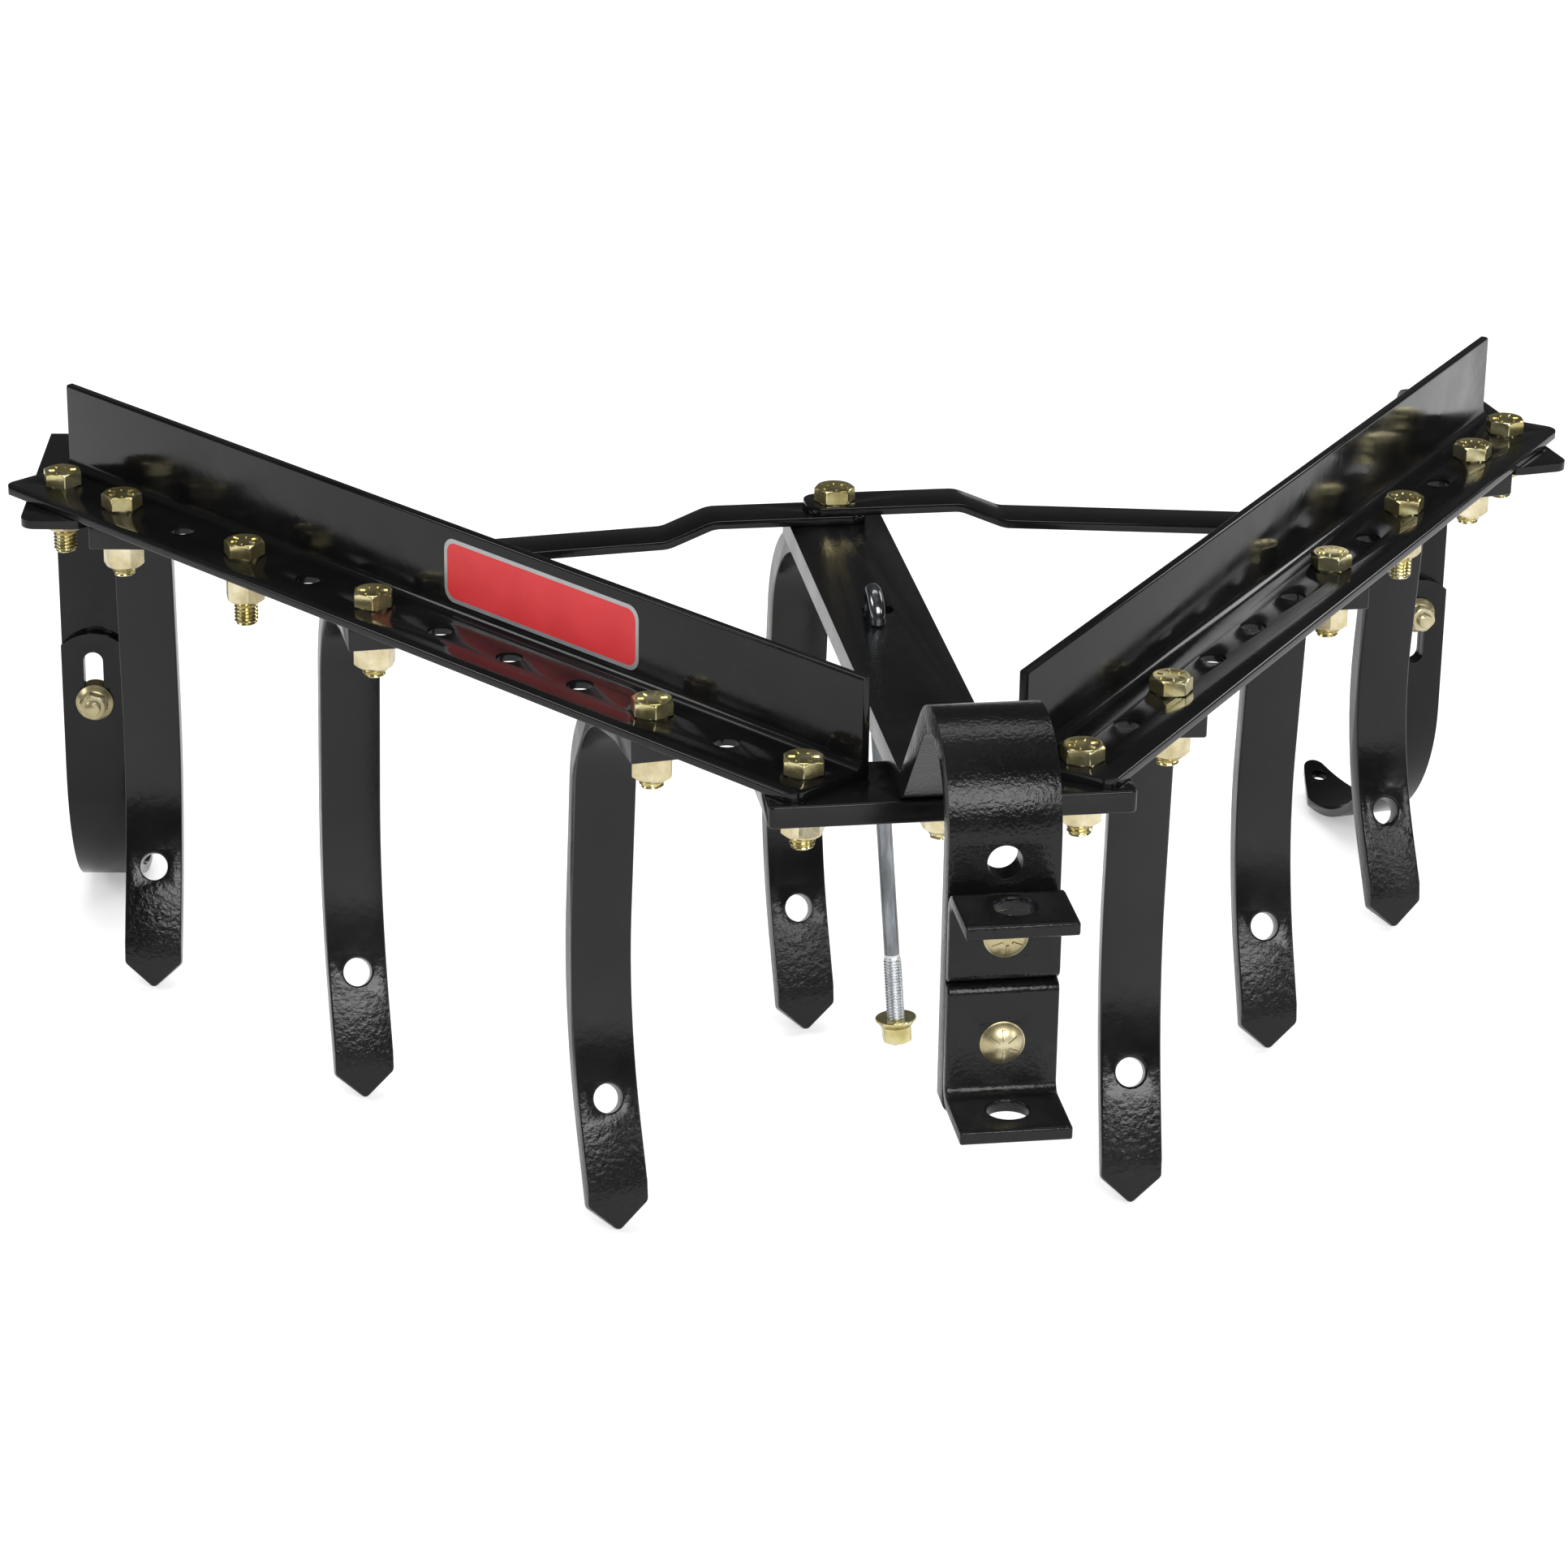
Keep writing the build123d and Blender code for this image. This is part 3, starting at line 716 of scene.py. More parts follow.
def bake(piece: bpy.types.Object) -> None:
    """Apply every modifier of a piece to its mesh."""
    graph = bpy.context.evaluated_depsgraph_get()
    graph.update()
    fresh = bpy.data.meshes.new_from_object(piece.evaluated_get(graph))
    piece.modifiers.clear()
    old = piece.data
    piece.data = fresh
    bpy.data.meshes.remove(old)


def finished(piece: bpy.types.Object, move: Matrix, sharp: float = SMOOTH_ANGLE) -> bpy.types.Object:
    """Move a piece's mesh to its place in metres and shade it.

    Args:
        piece: Object with a mesh in millimetres.
        move: Place in millimetres.
        sharp: Edges sharper than this stay crisp, in degrees.

    Returns:
        The same object.
    """
    piece.data.transform(Matrix.Scale(MM, 4) @ Matrix.Translation(DATUM) @ move)
    if move.determinant() < 0:
        piece.data.flip_normals()
    keep_inside(piece.data)
    piece.data.shade_smooth()
    piece.data.set_sharp_from_angle(angle=math.radians(sharp))
    return piece


def keep_inside(mesh: bpy.types.Mesh) -> None:
    """Hold the rounding errors of a mesh inside the frame's own box."""
    low, high = CAD_BOX
    for vert in mesh.vertices:
        vert.co = [min(max(c, a), b) for c, a, b in zip(vert.co, low, high)]


def dress(piece: bpy.types.Object, finish: Finish, body: Body,
          node: str | None = None) -> bpy.types.Object:
    """Give a piece its finish, its body and the CAD node it stands for.

    Args:
        piece: Finished object.
        finish: Its finish.
        body: Body it rides on.
        node: CAD node that it replaces, if any.

    Returns:
        The same object.
    """
    piece.data.materials.clear()
    piece.data.materials.append(finish.material())
    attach(piece, body.value)
    if node:
        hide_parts(node)
    LOG.info("%s: %d faces on %s", piece.name, len(piece.data.polygons), body.value)
    return piece


def drill(diameter: float, depth: float, move: Matrix) -> bmesh.types.BMesh:
    """Round cutter about its own Z, centred and moved to its place."""
    tool = turned([(diameter / 2, -depth / 2), (diameter / 2, depth / 2)], count=48)
    tool.transform(move)
    return tool


def corner_tool(radius: float, across: int, move: Matrix, reach: float = 12.0) -> bmesh.types.BMesh:
    """Cutter that rounds one corner of a bar's end.

    Args:
        radius: Radius of the corner.
        across: Side of the bar, -1 or 1.
        move: Place of the corner, the bar's end facing -Y.
        reach: Half length of the cutter.

    Returns:
        The cutter.
    """
    angles = [math.pi / 2 * k / 9 for k in range(10)]
    arc = [(across * (radius * math.sin(a) - radius), radius - radius * math.cos(a)) for a in angles]
    waste = [(-across * radius, -3), (across * 3, -3), (across * 3, radius)]
    tool = prism(waste + list(reversed(arc)), -reach, reach)
    tool.transform(move)
    bmesh.ops.recalc_face_normals(tool, faces=tool.faces)
    return tool


def slot_tool(width: float, low: float, high: float, reach: float) -> bmesh.types.BMesh:
    """Cutter for an upright slot through a strap, along Y.

    Args:
        width: Slot width.
        low: Height of the lower end's centre.
        high: Height of the upper end's centre.
        reach: Length of the cutter along Y.

    Returns:
        The cutter.
    """
    half = width / 2
    outline = rounded([(-half, low - half), (half, low - half), (half, high + half), (-half, high + half)],
                      [half * 0.999] * 4, 10)
    tool = prism(outline, -reach, reach)
    tool.transform(turn(90, "X"))
    return tool


@dataclass
class Wing:
    """Angle-iron wing with a row of holes, and the blank panel on the left one."""

    side: Side
    leg: float = 50.8
    wall: float = WING_WALL
    root: float = 5.0
    edge: float = 1.5
    heel: float = 1.2
    lip: float = 1.0
    soft: float = 0.55
    drill_reach: float = 30.0
    corner: float = 8.0
    front: float = 25.0
    tail_inner: float = 17.5
    tail_outer: float = 21.0
    holes: int = 12
    panel_start: float = 133.0
    panel_end: float = 274.0
    panel_low: float = 10.5
    panel_high: float = 44.5
    panel_border: float = 2.2
    panel_corner: float = 7.0
    film: float = 0.12
    film_top: float = 0.2

    @property
    def place(self) -> Matrix:
        """Place of the wing: mirrored for the left side, then swept."""
        return mirrored(self.side) @ shift(PIVOT_X) @ Matrix.Rotation(-SWEEP, 4, "Z")

    def section(self) -> list[Point]:
        """Outline of the angle iron as (across, up), with its root and toes rounded."""
        back = self.front - self.leg
        corners = [(back, 0), (self.front, 0), (self.front, self.wall), (back + self.wall, self.wall),
                   (back + self.wall, self.leg), (back, self.leg)]
        return rounded(corners, [self.heel, self.lip, self.edge, self.root, self.edge, self.lip], 5)

    def build(self) -> bpy.types.Object:
        """Build the angle iron with its rounded front corners and holes.

        Returns:
            The dressed wing.
        """
        length = (self.holes - 1) * HOLE_PITCH + self.tail_inner + self.tail_outer
        body = prism(self.section(), 0, length)
        body.transform(shift(0, -self.tail_inner) @ turn(90, "X") @ Matrix.Diagonal((1, 1, -1, 1)))
        bmesh.ops.reverse_faces(body, faces=body.faces)
        bmesh.ops.recalc_face_normals(body, faces=body.faces)
        holes = gathered(*(drill(HOLE_D, self.drill_reach, shift(0, k * HOLE_PITCH)) for k in range(self.holes)))
        far = length - self.tail_inner
        corners = joined([(self.flange_corner(), shift(self.front, -self.tail_inner)),
                          (self.flange_corner(), shift(self.front, far) @ turn(90))])
        piece = solid(f"wing_{self.side.word}_angle", body, [corners, holes], self.soft, self.place, 2)
        return dress(piece, BLACK, Body.FRAME, f"wing_{self.side.word}")

    def flange_corner(self) -> bmesh.types.BMesh:
        """Cutter that rounds one front corner, its own corner at the origin."""
        far = 3.0
        arc = [(-self.corner + self.corner * math.sin(a), self.corner - self.corner * math.cos(a))
               for a in (math.pi / 2 * k / 9 for k in range(10))]
        return prism([(-self.corner, -far), (far, -far), (far, self.corner)] + list(reversed(arc)), -5, 20)

    def panel(self) -> list[bpy.types.Object]:
        """Build the blank panel: a silver film with a red field on it.

        Returns:
            The two films.
        """
        back = self.front - self.leg + self.wall
        films = []
        for name, inset, low, high, finish, slot in (
                ("panel_border", 0.0, 0.0, self.film, SILVER_FILM, "clear_zinc"),
                ("panel_field", self.panel_border, self.film, self.film_top, RED_FILM, "black_paint")):
            start, end = self.panel_start + inset, self.panel_end - inset
            foot, top = self.panel_low + inset, self.panel_high - inset
            outline = rounded([(start, foot), (end, foot), (end, top), (start, top)],
                              [self.panel_corner - inset * 0.6] * 4, 8)
            film = prism(outline, low, high)
            stand = Matrix(((0, 0, 1, back), (1, 0, 0, 0), (0, 1, 0, 0), (0, 0, 0, 1)))
            piece = finished(mesh_object(name, film), self.place @ stand)
            films.append(dress(piece, finish, Body.FRAME))
        return films


@dataclass
class Drawbar:
    """Drawbar with its hoop and front leg, the plate below the wings and the two braces."""

    thick: float = 12.7
    tail: float = 12.7
    valley_y: float = -28.4
    valley_r: float = 18.0
    climb: float = 46.0
    face_y: float = -151.0
    hoop_r: float = 39.4
    foot_z: float = -101.0
    foot_r: float = 5.0
    spare_d: float = 16.0
    spare_z: float = 20.5
    hook_d: float = 16.0
    hook_y: float = 187.0
    ear_bolts: tuple[float, float] = (-12.2, -64.3)
    ear_hole_d: float = 10.5
    plate_length: float = 174.4
    plate_depth: float = 50.8
    plate_thick: float = 11.11
    plate_front: float = -30.3
    brace_width: float = 25.4
    brace_thick: float = 4.76
    brace_end: float = 16.0
    brace_end_r: float = 9.0
    joggle_start: float = 66.0
    joggle_run: float = 24.0
    joggle_drop: float = 10.2
    land_x: float = 262.0
    joggle_radii: tuple[float, float, float] = (18.0, 18.0, 60.0)
    plate_corner: float = 3.0
    soft: float = 1.3
    plate_soft: float = 1.0
    brace_soft: float = 0.6
    drill_reach: float = 40.0
    brace_drill: float = 90.0
    margin: float = 8.0

    @property
    def leg_y(self) -> float:
        """Centre line of the front leg."""
        return self.face_y + self.thick / 2

    @property
    def rear_stack(self) -> float:
        """Height of the braces' top at the rear bolt."""
        return self.thick + 2 * self.brace_thick

    def build_bar(self) -> bpy.types.Object:
        """Build the bent and drilled drawbar.

        Returns:
            The dressed drawbar.
        """
        mid = self.thick / 2
        rise = (self.valley_y - self.leg_y) * math.tan(math.radians(self.climb))
        body = swept_bar([(REAR_BOLT_Y + self.tail, mid), (self.valley_y, mid), (self.leg_y, mid + rise),
                          (self.leg_y, self.foot_z)], (self.valley_r, self.hoop_r), self.thick, BAR_WIDTH)
        tools = [drill(d, self.drill_reach, shift(0, y, mid))
                 for y, d in ((0, HOLE_D), (self.hook_y, self.hook_d), (REAR_BOLT_Y, HOLE_D))]
        tools += [drill(d, self.drill_reach, shift(0, self.leg_y, z) @ turn(90, "X"))
                  for z, d in ((self.spare_z, self.spare_d), *((z, self.ear_hole_d) for z in self.ear_bolts))]
        corners = [corner_tool(self.foot_r, across, shift(across * BAR_WIDTH / 2, 0, self.foot_z) @ turn(90, "X")
                               @ shift(0, 0, -self.leg_y)) for across in (-1, 1)]
        piece = solid("drawbar_hoop", body, [gathered(*tools), *corners], self.soft, Matrix.Identity(4))
        return dress(piece, BLACK_ROUGH, Body.FRAME, "drawbar")

    def build_plate(self) -> bpy.types.Object:
        """Build the plate below the wings' inner ends.

        Returns:
            The dressed plate.
        """
        half, back = self.plate_length / 2, self.plate_front + self.plate_depth
        outline = rounded([(-half, self.plate_front), (half, self.plate_front), (half, back), (-half, back)],
                          [self.plate_corner] * 4, 5)
        holes = gathered(*(drill(HOLE_D, self.drill_reach, shift(x)) for x in (-PIVOT_X, 0, PIVOT_X)))
        bar = prism(outline, -self.plate_thick, 0)
        piece = solid("wing_plate_bar", bar, [holes], self.plate_soft, Matrix.Identity(4))
        return dress(piece, BLACK, Body.FRAME, "wing_plate")

    def build_brace(self, side: Side, seat: float) -> bpy.types.Object:
        """Build one joggled brace.

        Args:
            side: Side of its wing.
            seat: Height of what it lies on at the rear bolt.

        Returns:
            The dressed brace.
        """
        hole_x = abs(wing_hole(1, 9)[0])
        high, low = seat + self.brace_thick / 2, -self.brace_thick / 2
        body = swept_bar([(-self.brace_end, high), (self.joggle_start, high),
                          (self.joggle_start + self.joggle_run, high - self.joggle_drop), (self.land_x, low),
                          (hole_x + self.brace_end, low)], self.joggle_radii, self.brace_thick, self.brace_width)
        half, end = self.brace_width / 2, hole_x + self.brace_end
        inside = rounded([(-half, -self.brace_end), (half, -self.brace_end), (half, end), (-half, end)],
                         [self.brace_end_r] * 4, 8)
        waste = self.frame_tool(inside, half + self.margin, -self.brace_end - self.margin, end + self.margin)
        holes = gathered(*(drill(HOLE_D, self.brace_drill, shift(0, y)) for y in (0, hole_x)))
        place = mirrored(side) @ shift(0, REAR_BOLT_Y) @ turn(-90)
        piece = solid(f"brace_{side.word}_strap", body, [waste, holes], self.brace_soft, place, 2)
        return dress(piece, BLACK, Body.FRAME, f"brace_{side.word}")

    def frame_tool(self, inside: list[Point], reach: float, low: float, high: float) -> bmesh.types.BMesh:
        """Cutter around an outline: four corner wedges that leave the outline standing.

        Args:
            inside: Rounded outline to keep, four arcs of nine points from the near left corner.
            reach: Half width of the cutter.
            low: Its near end.
            high: Its far end.

        Returns:
            The cutter.
        """
        corners = ((-reach, low), (reach, low), (reach, high), (-reach, high))
        wedges = []
        for i, corner in enumerate(corners):
            arc = inside[i * 9:i * 9 + 9]
            before = (arc[0][0], corner[1]) if i % 2 else (corner[0], arc[0][1])
            after = (corner[0], arc[-1][1]) if i % 2 else (arc[-1][0], corner[1])
            wedges.append(prism([corner, before, *arc, after], -60, 60))
        return gathered(*wedges)


@dataclass
class HitchEars:
    """Two bent ears on the front leg, for the hitch pin."""

    face_y: float = -151.0
    thick: float = 6.35
    depth: float = 44.5
    bend_r: float = 8.0
    heel_r: float = 5.0
    pin_d: float = 19.2
    pin_setback: float = 23.5
    bolt_hole_d: float = 10.5
    soft: float = 1.1
    drill_reach: float = 30.0
    rows: tuple[tuple[str, float, float, float, int], ...] = (
        ("upper", 10.0, -12.2, -35.0, 1), ("lower", -95.4, -64.3, -36.0, -1))

    def build(self) -> list[bpy.types.Object]:
        """Build both ears.

        Returns:
            The dressed ears.
        """
        ears = []
        for word, flange, bolt, end, up in self.rows:
            web_y, level = self.face_y - self.thick / 2, flange - up * self.thick / 2
            body = swept_bar([(web_y, end), (web_y, level), (self.face_y - self.depth, level)], (self.bend_r,),
                             self.thick, BAR_WIDTH)
            bolt_hole = drill(self.bolt_hole_d, self.drill_reach, shift(0, self.face_y, bolt) @ turn(90, "X"))
            pin_hole = drill(self.pin_d, self.drill_reach, shift(0, self.face_y - self.pin_setback, level))
            front = self.face_y - self.thick
            heel = Matrix(((0, 0, 1, 0), (1, 0, 0, front), (0, up, 0, end), (0, 0, 0, 1)))
            tools = [corner_tool(self.heel_r, -1, heel, BAR_WIDTH), gathered(bolt_hole, pin_hole)]
            piece = solid(f"hitch_ear_{word}_angle", body, tools, self.soft, Matrix.Identity(4))
            ears.append(dress(piece, BLACK_ROUGH, Body.FRAME, f"hitch_ear_{word}"))
        return ears


@dataclass
class Tine:
    """Hooked tine of one flat bar, bolted below a wing or the drawbar."""

    node: str
    side: int
    hole: int
    turn: float
    arch_run: float
    width: float = 31.75
    thick: float = 12.7
    toe: float = 20.0
    knee: float = 11.825
    slope: float = 10.0
    arch: float = 49.326
    arch_turn: float = 74.0
    shank: float = 184.5
    sweep: float = 32.0
    radii: tuple[float, float, float] = (16.0, 63.6, 208.0)
    tool_hole_d: float = 15.5
    tool_hole_up: float = 68.6
    point: float = 14.0
    point_r: float = 2.6
    point_side_r: float = 3.5
    bevel_up: float = 24.0
    bevel_in: float = 8.0
    soft: float = 1.4
    drill_reach: float = 40.0
    tool_drill: float = 50.0

    def path(self) -> list[Point]:
        """Corners of the centre line as (rearwards, up) from the bolt."""
        head, run, level = self.slope, self.knee, -self.thick / 2
        corners = [(-self.toe, level), (run, level)]
        for bend, length in ((self.arch_turn, self.arch + self.arch_run), (self.sweep, self.shank)):
            run += length * math.cos(math.radians(head))
            level -= length * math.sin(math.radians(head))
            corners.append((run, level))
            head += bend
        last = math.radians(head)
        drop = level - FLOOR_Z + self.thick / 2 * math.cos(last)
        corners.append((run + drop / math.tan(last), level - drop))
        return corners

    def tip_frame(self) -> Matrix:
        """Matrix at the tip: X across, Y up the shank, Z out of the front face."""
        (run, level), (up_run, up_level) = self.path()[-1], self.path()[-2]
        up = Vector((0, up_run - run, up_level - level)).normalized()
        front = Vector((1, 0, 0)).cross(up)
        turned_in = Matrix((Vector((1, 0, 0)), up, front)).transposed().to_4x4()
        return Matrix.Translation((0, run, level)) @ turned_in

    def tools(self) -> list[bmesh.types.BMesh]:
        """Cutters for the V point, the bevel and the two holes."""
        tip, half = self.tip_frame(), self.width / 2
        corners = [(half, self.width), (half, self.point), (0, 0), (-half, self.point), (-half, self.width)]
        edge = rounded(corners, [0, self.point_side_r, self.point_r, self.point_side_r, 0], 6)[1:-1]
        far, start = self.width, edge[0][1]
        waste = prism([(far, start), *edge, (-far, start), (-far, -half), (far, -half)], -20, 20)
        waste.transform(tip)
        bmesh.ops.recalc_face_normals(waste, faces=waste.faces)
        lean = turn(math.degrees(math.atan2(self.bevel_in, self.bevel_up)), "X")
        slab = prism([(-30, -60), (30, -60), (30, 4), (-30, 4)], 0, 25)
        slab.transform(tip @ shift(0, self.bevel_up, self.thick / 2) @ lean)
        bolt_hole = drill(HOLE_D, self.drill_reach, Matrix.Identity(4))
        tool_hole = drill(self.tool_hole_d, self.tool_drill, tip @ shift(0, self.tool_hole_up))
        return [waste, slab, gathered(bolt_hole, tool_hole)]

    def build(self) -> bpy.types.Object:
        """Build the tine.

        Returns:
            The dressed tine.
        """
        body = swept_bar(self.path(), self.radii, self.thick, self.width)
        x, y = wing_hole(self.side, self.hole)
        piece = solid(f"{self.node}_bar", body, self.tools(), self.soft, shift(x, y) @ turn(self.turn))
        return dress(piece, BLACK_TINE, Body.FRAME, self.node)


@dataclass
class GaugeShoe:
    """Slotted bracket under a wing's end and the slotted shoe clamped in front of it."""

    side: Side
    turn: float
    body: Body
    clamp_z: float
    width: float = 36.0
    thick: float = 4.76
    toe: float = 47.0
    reach: float = 101.8
    bend_r: float = 8.4
    corner: float = 8.0
    foot_z: float = -172.0
    slot_width: float = 11.0
    slot_top: float = -136.3
    slot_foot: float = -166.0
    top_z: float = -119.5
    crown: float = 7.5
    curve_r: float = 100.0
    bottom_z: float = -302.0
    turn_up: float = 33.0
    tip_r: float = 7.0
    hole_d: float = 9.5
    hole_back: float = 25.0
    soft: float = 0.8
    drill_reach: float = 30.0
    small_drill: float = 60.0
    slot_reach: float = 300.0

    @property
    def place(self) -> Matrix:
        """Place of bracket and shoe: the outermost wing bolt, turned."""
        return shift(*wing_hole(self.side.value, 12)) @ turn(self.turn)

    def slot(self) -> bmesh.types.BMesh:
        """Cutter for the clamp slot."""
        return slot_tool(self.slot_width, self.slot_foot, self.slot_top, self.slot_reach)

    def build_bracket(self) -> bpy.types.Object:
        """Build the bracket.

        Returns:
            The dressed bracket.
        """
        back, level = self.reach + self.thick / 2, -self.thick / 2
        body = swept_bar([(-self.toe, level), (back, level), (back, self.foot_z)], (self.bend_r,), self.thick,
                         self.width)
        tools = [self.slot(), drill(HOLE_D, self.drill_reach, Matrix.Identity(4))]
        for across in (-1, 1):
            edge = across * self.width / 2
            upright = shift(edge, 0, self.foot_z) @ turn(90, "X") @ shift(0, 0, -back)
            tools += [corner_tool(self.corner, across, shift(edge, -self.toe)),
                      corner_tool(self.corner, across, upright)]
        piece = solid(f"shoe_bracket_{self.side.word}_strap", body, tools, self.soft, self.place)
        return dress(piece, BLACK, Body.FRAME, f"shoe_bracket_{self.side.word}")

    def build_shoe(self) -> bpy.types.Object:
        """Build the shoe.

        Returns:
            The dressed shoe.
        """
        mid_r, y = self.curve_r - self.thick / 2, self.reach - self.thick / 2
        tangent = mid_r * math.tan(math.radians(90 + self.turn_up) / 2)
        corner_z = self.bottom_z + self.curve_r - tangent
        up = math.radians(self.turn_up)
        end = (y + (tangent + 0.5) * math.cos(up), corner_z + (tangent + 0.5) * math.sin(up))
        body = swept_bar([(y, self.top_z), (y, corner_z), end], (mid_r,), self.thick, self.width)
        bottom_y = self.reach - self.thick + self.curve_r
        small_hole = drill(self.hole_d, self.small_drill, shift(0, bottom_y + self.hole_back, self.bottom_z))
        tools = [self.slot(), small_hole, self.taper_tool(bottom_y, end[0]), self.crown_tool()]
        piece = solid(f"gauge_shoe_{self.side.word}_strap", body, tools, self.soft, self.place)
        return dress(piece, BLACK, self.body, f"gauge_shoe_{self.side.word}")

    def taper_tool(self, start: float, tip: float) -> bmesh.types.BMesh:
        """Cutter around the shoe's tapered, rounded point.

        Args:
            start: Where the taper begins.
            tip: Where its straight sides would meet.

        Returns:
            The cutter.
        """
        half, far = self.width / 2, self.width / 2 + 10
        lean = math.atan2(half, tip - start)
        centre = tip - self.tip_r / math.sin(lean)
        angles = [lean + (math.pi - 2 * lean) * k / 16 for k in range(17)]
        arc = [(self.tip_r * math.cos(a), centre + self.tip_r * math.sin(a)) for a in angles]
        outline = [(half, start), *arc, (-half, start), (-far, start), (-far, tip + 20), (far, tip + 20),
                   (far, start)]
        tool = prism(outline, self.bottom_z - 20, self.bottom_z + 60)
        bmesh.ops.recalc_face_normals(tool, faces=tool.faces)
        return tool

    def crown_tool(self) -> bmesh.types.BMesh:
        """Cutter above the shoe's arched top."""
        half, far = self.width / 2, self.width / 2 + 6
        radius = (half ** 2 + self.crown ** 2) / (2 * self.crown)
        sweep = math.asin(half / radius)
        angles = [sweep * k / 8 for k in range(-8, 9)]
        arc = [(radius * math.sin(a), self.top_z - radius + radius * math.cos(a)) for a in angles]
        side, top = self.top_z - self.crown, self.top_z + 6
        tool = prism([*arc, (far, side), (far, top), (-far, top), (-far, side)], -130, -60)
        tool.transform(turn(90, "X"))
        bmesh.ops.recalc_face_normals(tool, faces=tool.faces)
        return tool


@dataclass
class Fasteners:
    """What all bolts and nuts share.

    Attributes:
        crisp: Edges sharper than this stay crisp, in degrees.
    """

    crisp: float = SMOOTH_ANGLE

    def set_down(self, name: str, parts: Iterable[tuple[bmesh.types.BMesh, Matrix]], finish: Plating,
                 node: str) -> bpy.types.Object:
        """Join a group of fasteners and dress it.

        Args:
            name: Piece name.
            parts: Meshes with their places.
            finish: Plating of the group.
            node: CAD node that it replaces.

        Returns:
            The dressed group.
        """
        piece = solid(name, joined(parts), [], 0, Matrix.Identity(4), sharp=self.crisp)
        return dress(piece, finish, Body.FRAME, node)


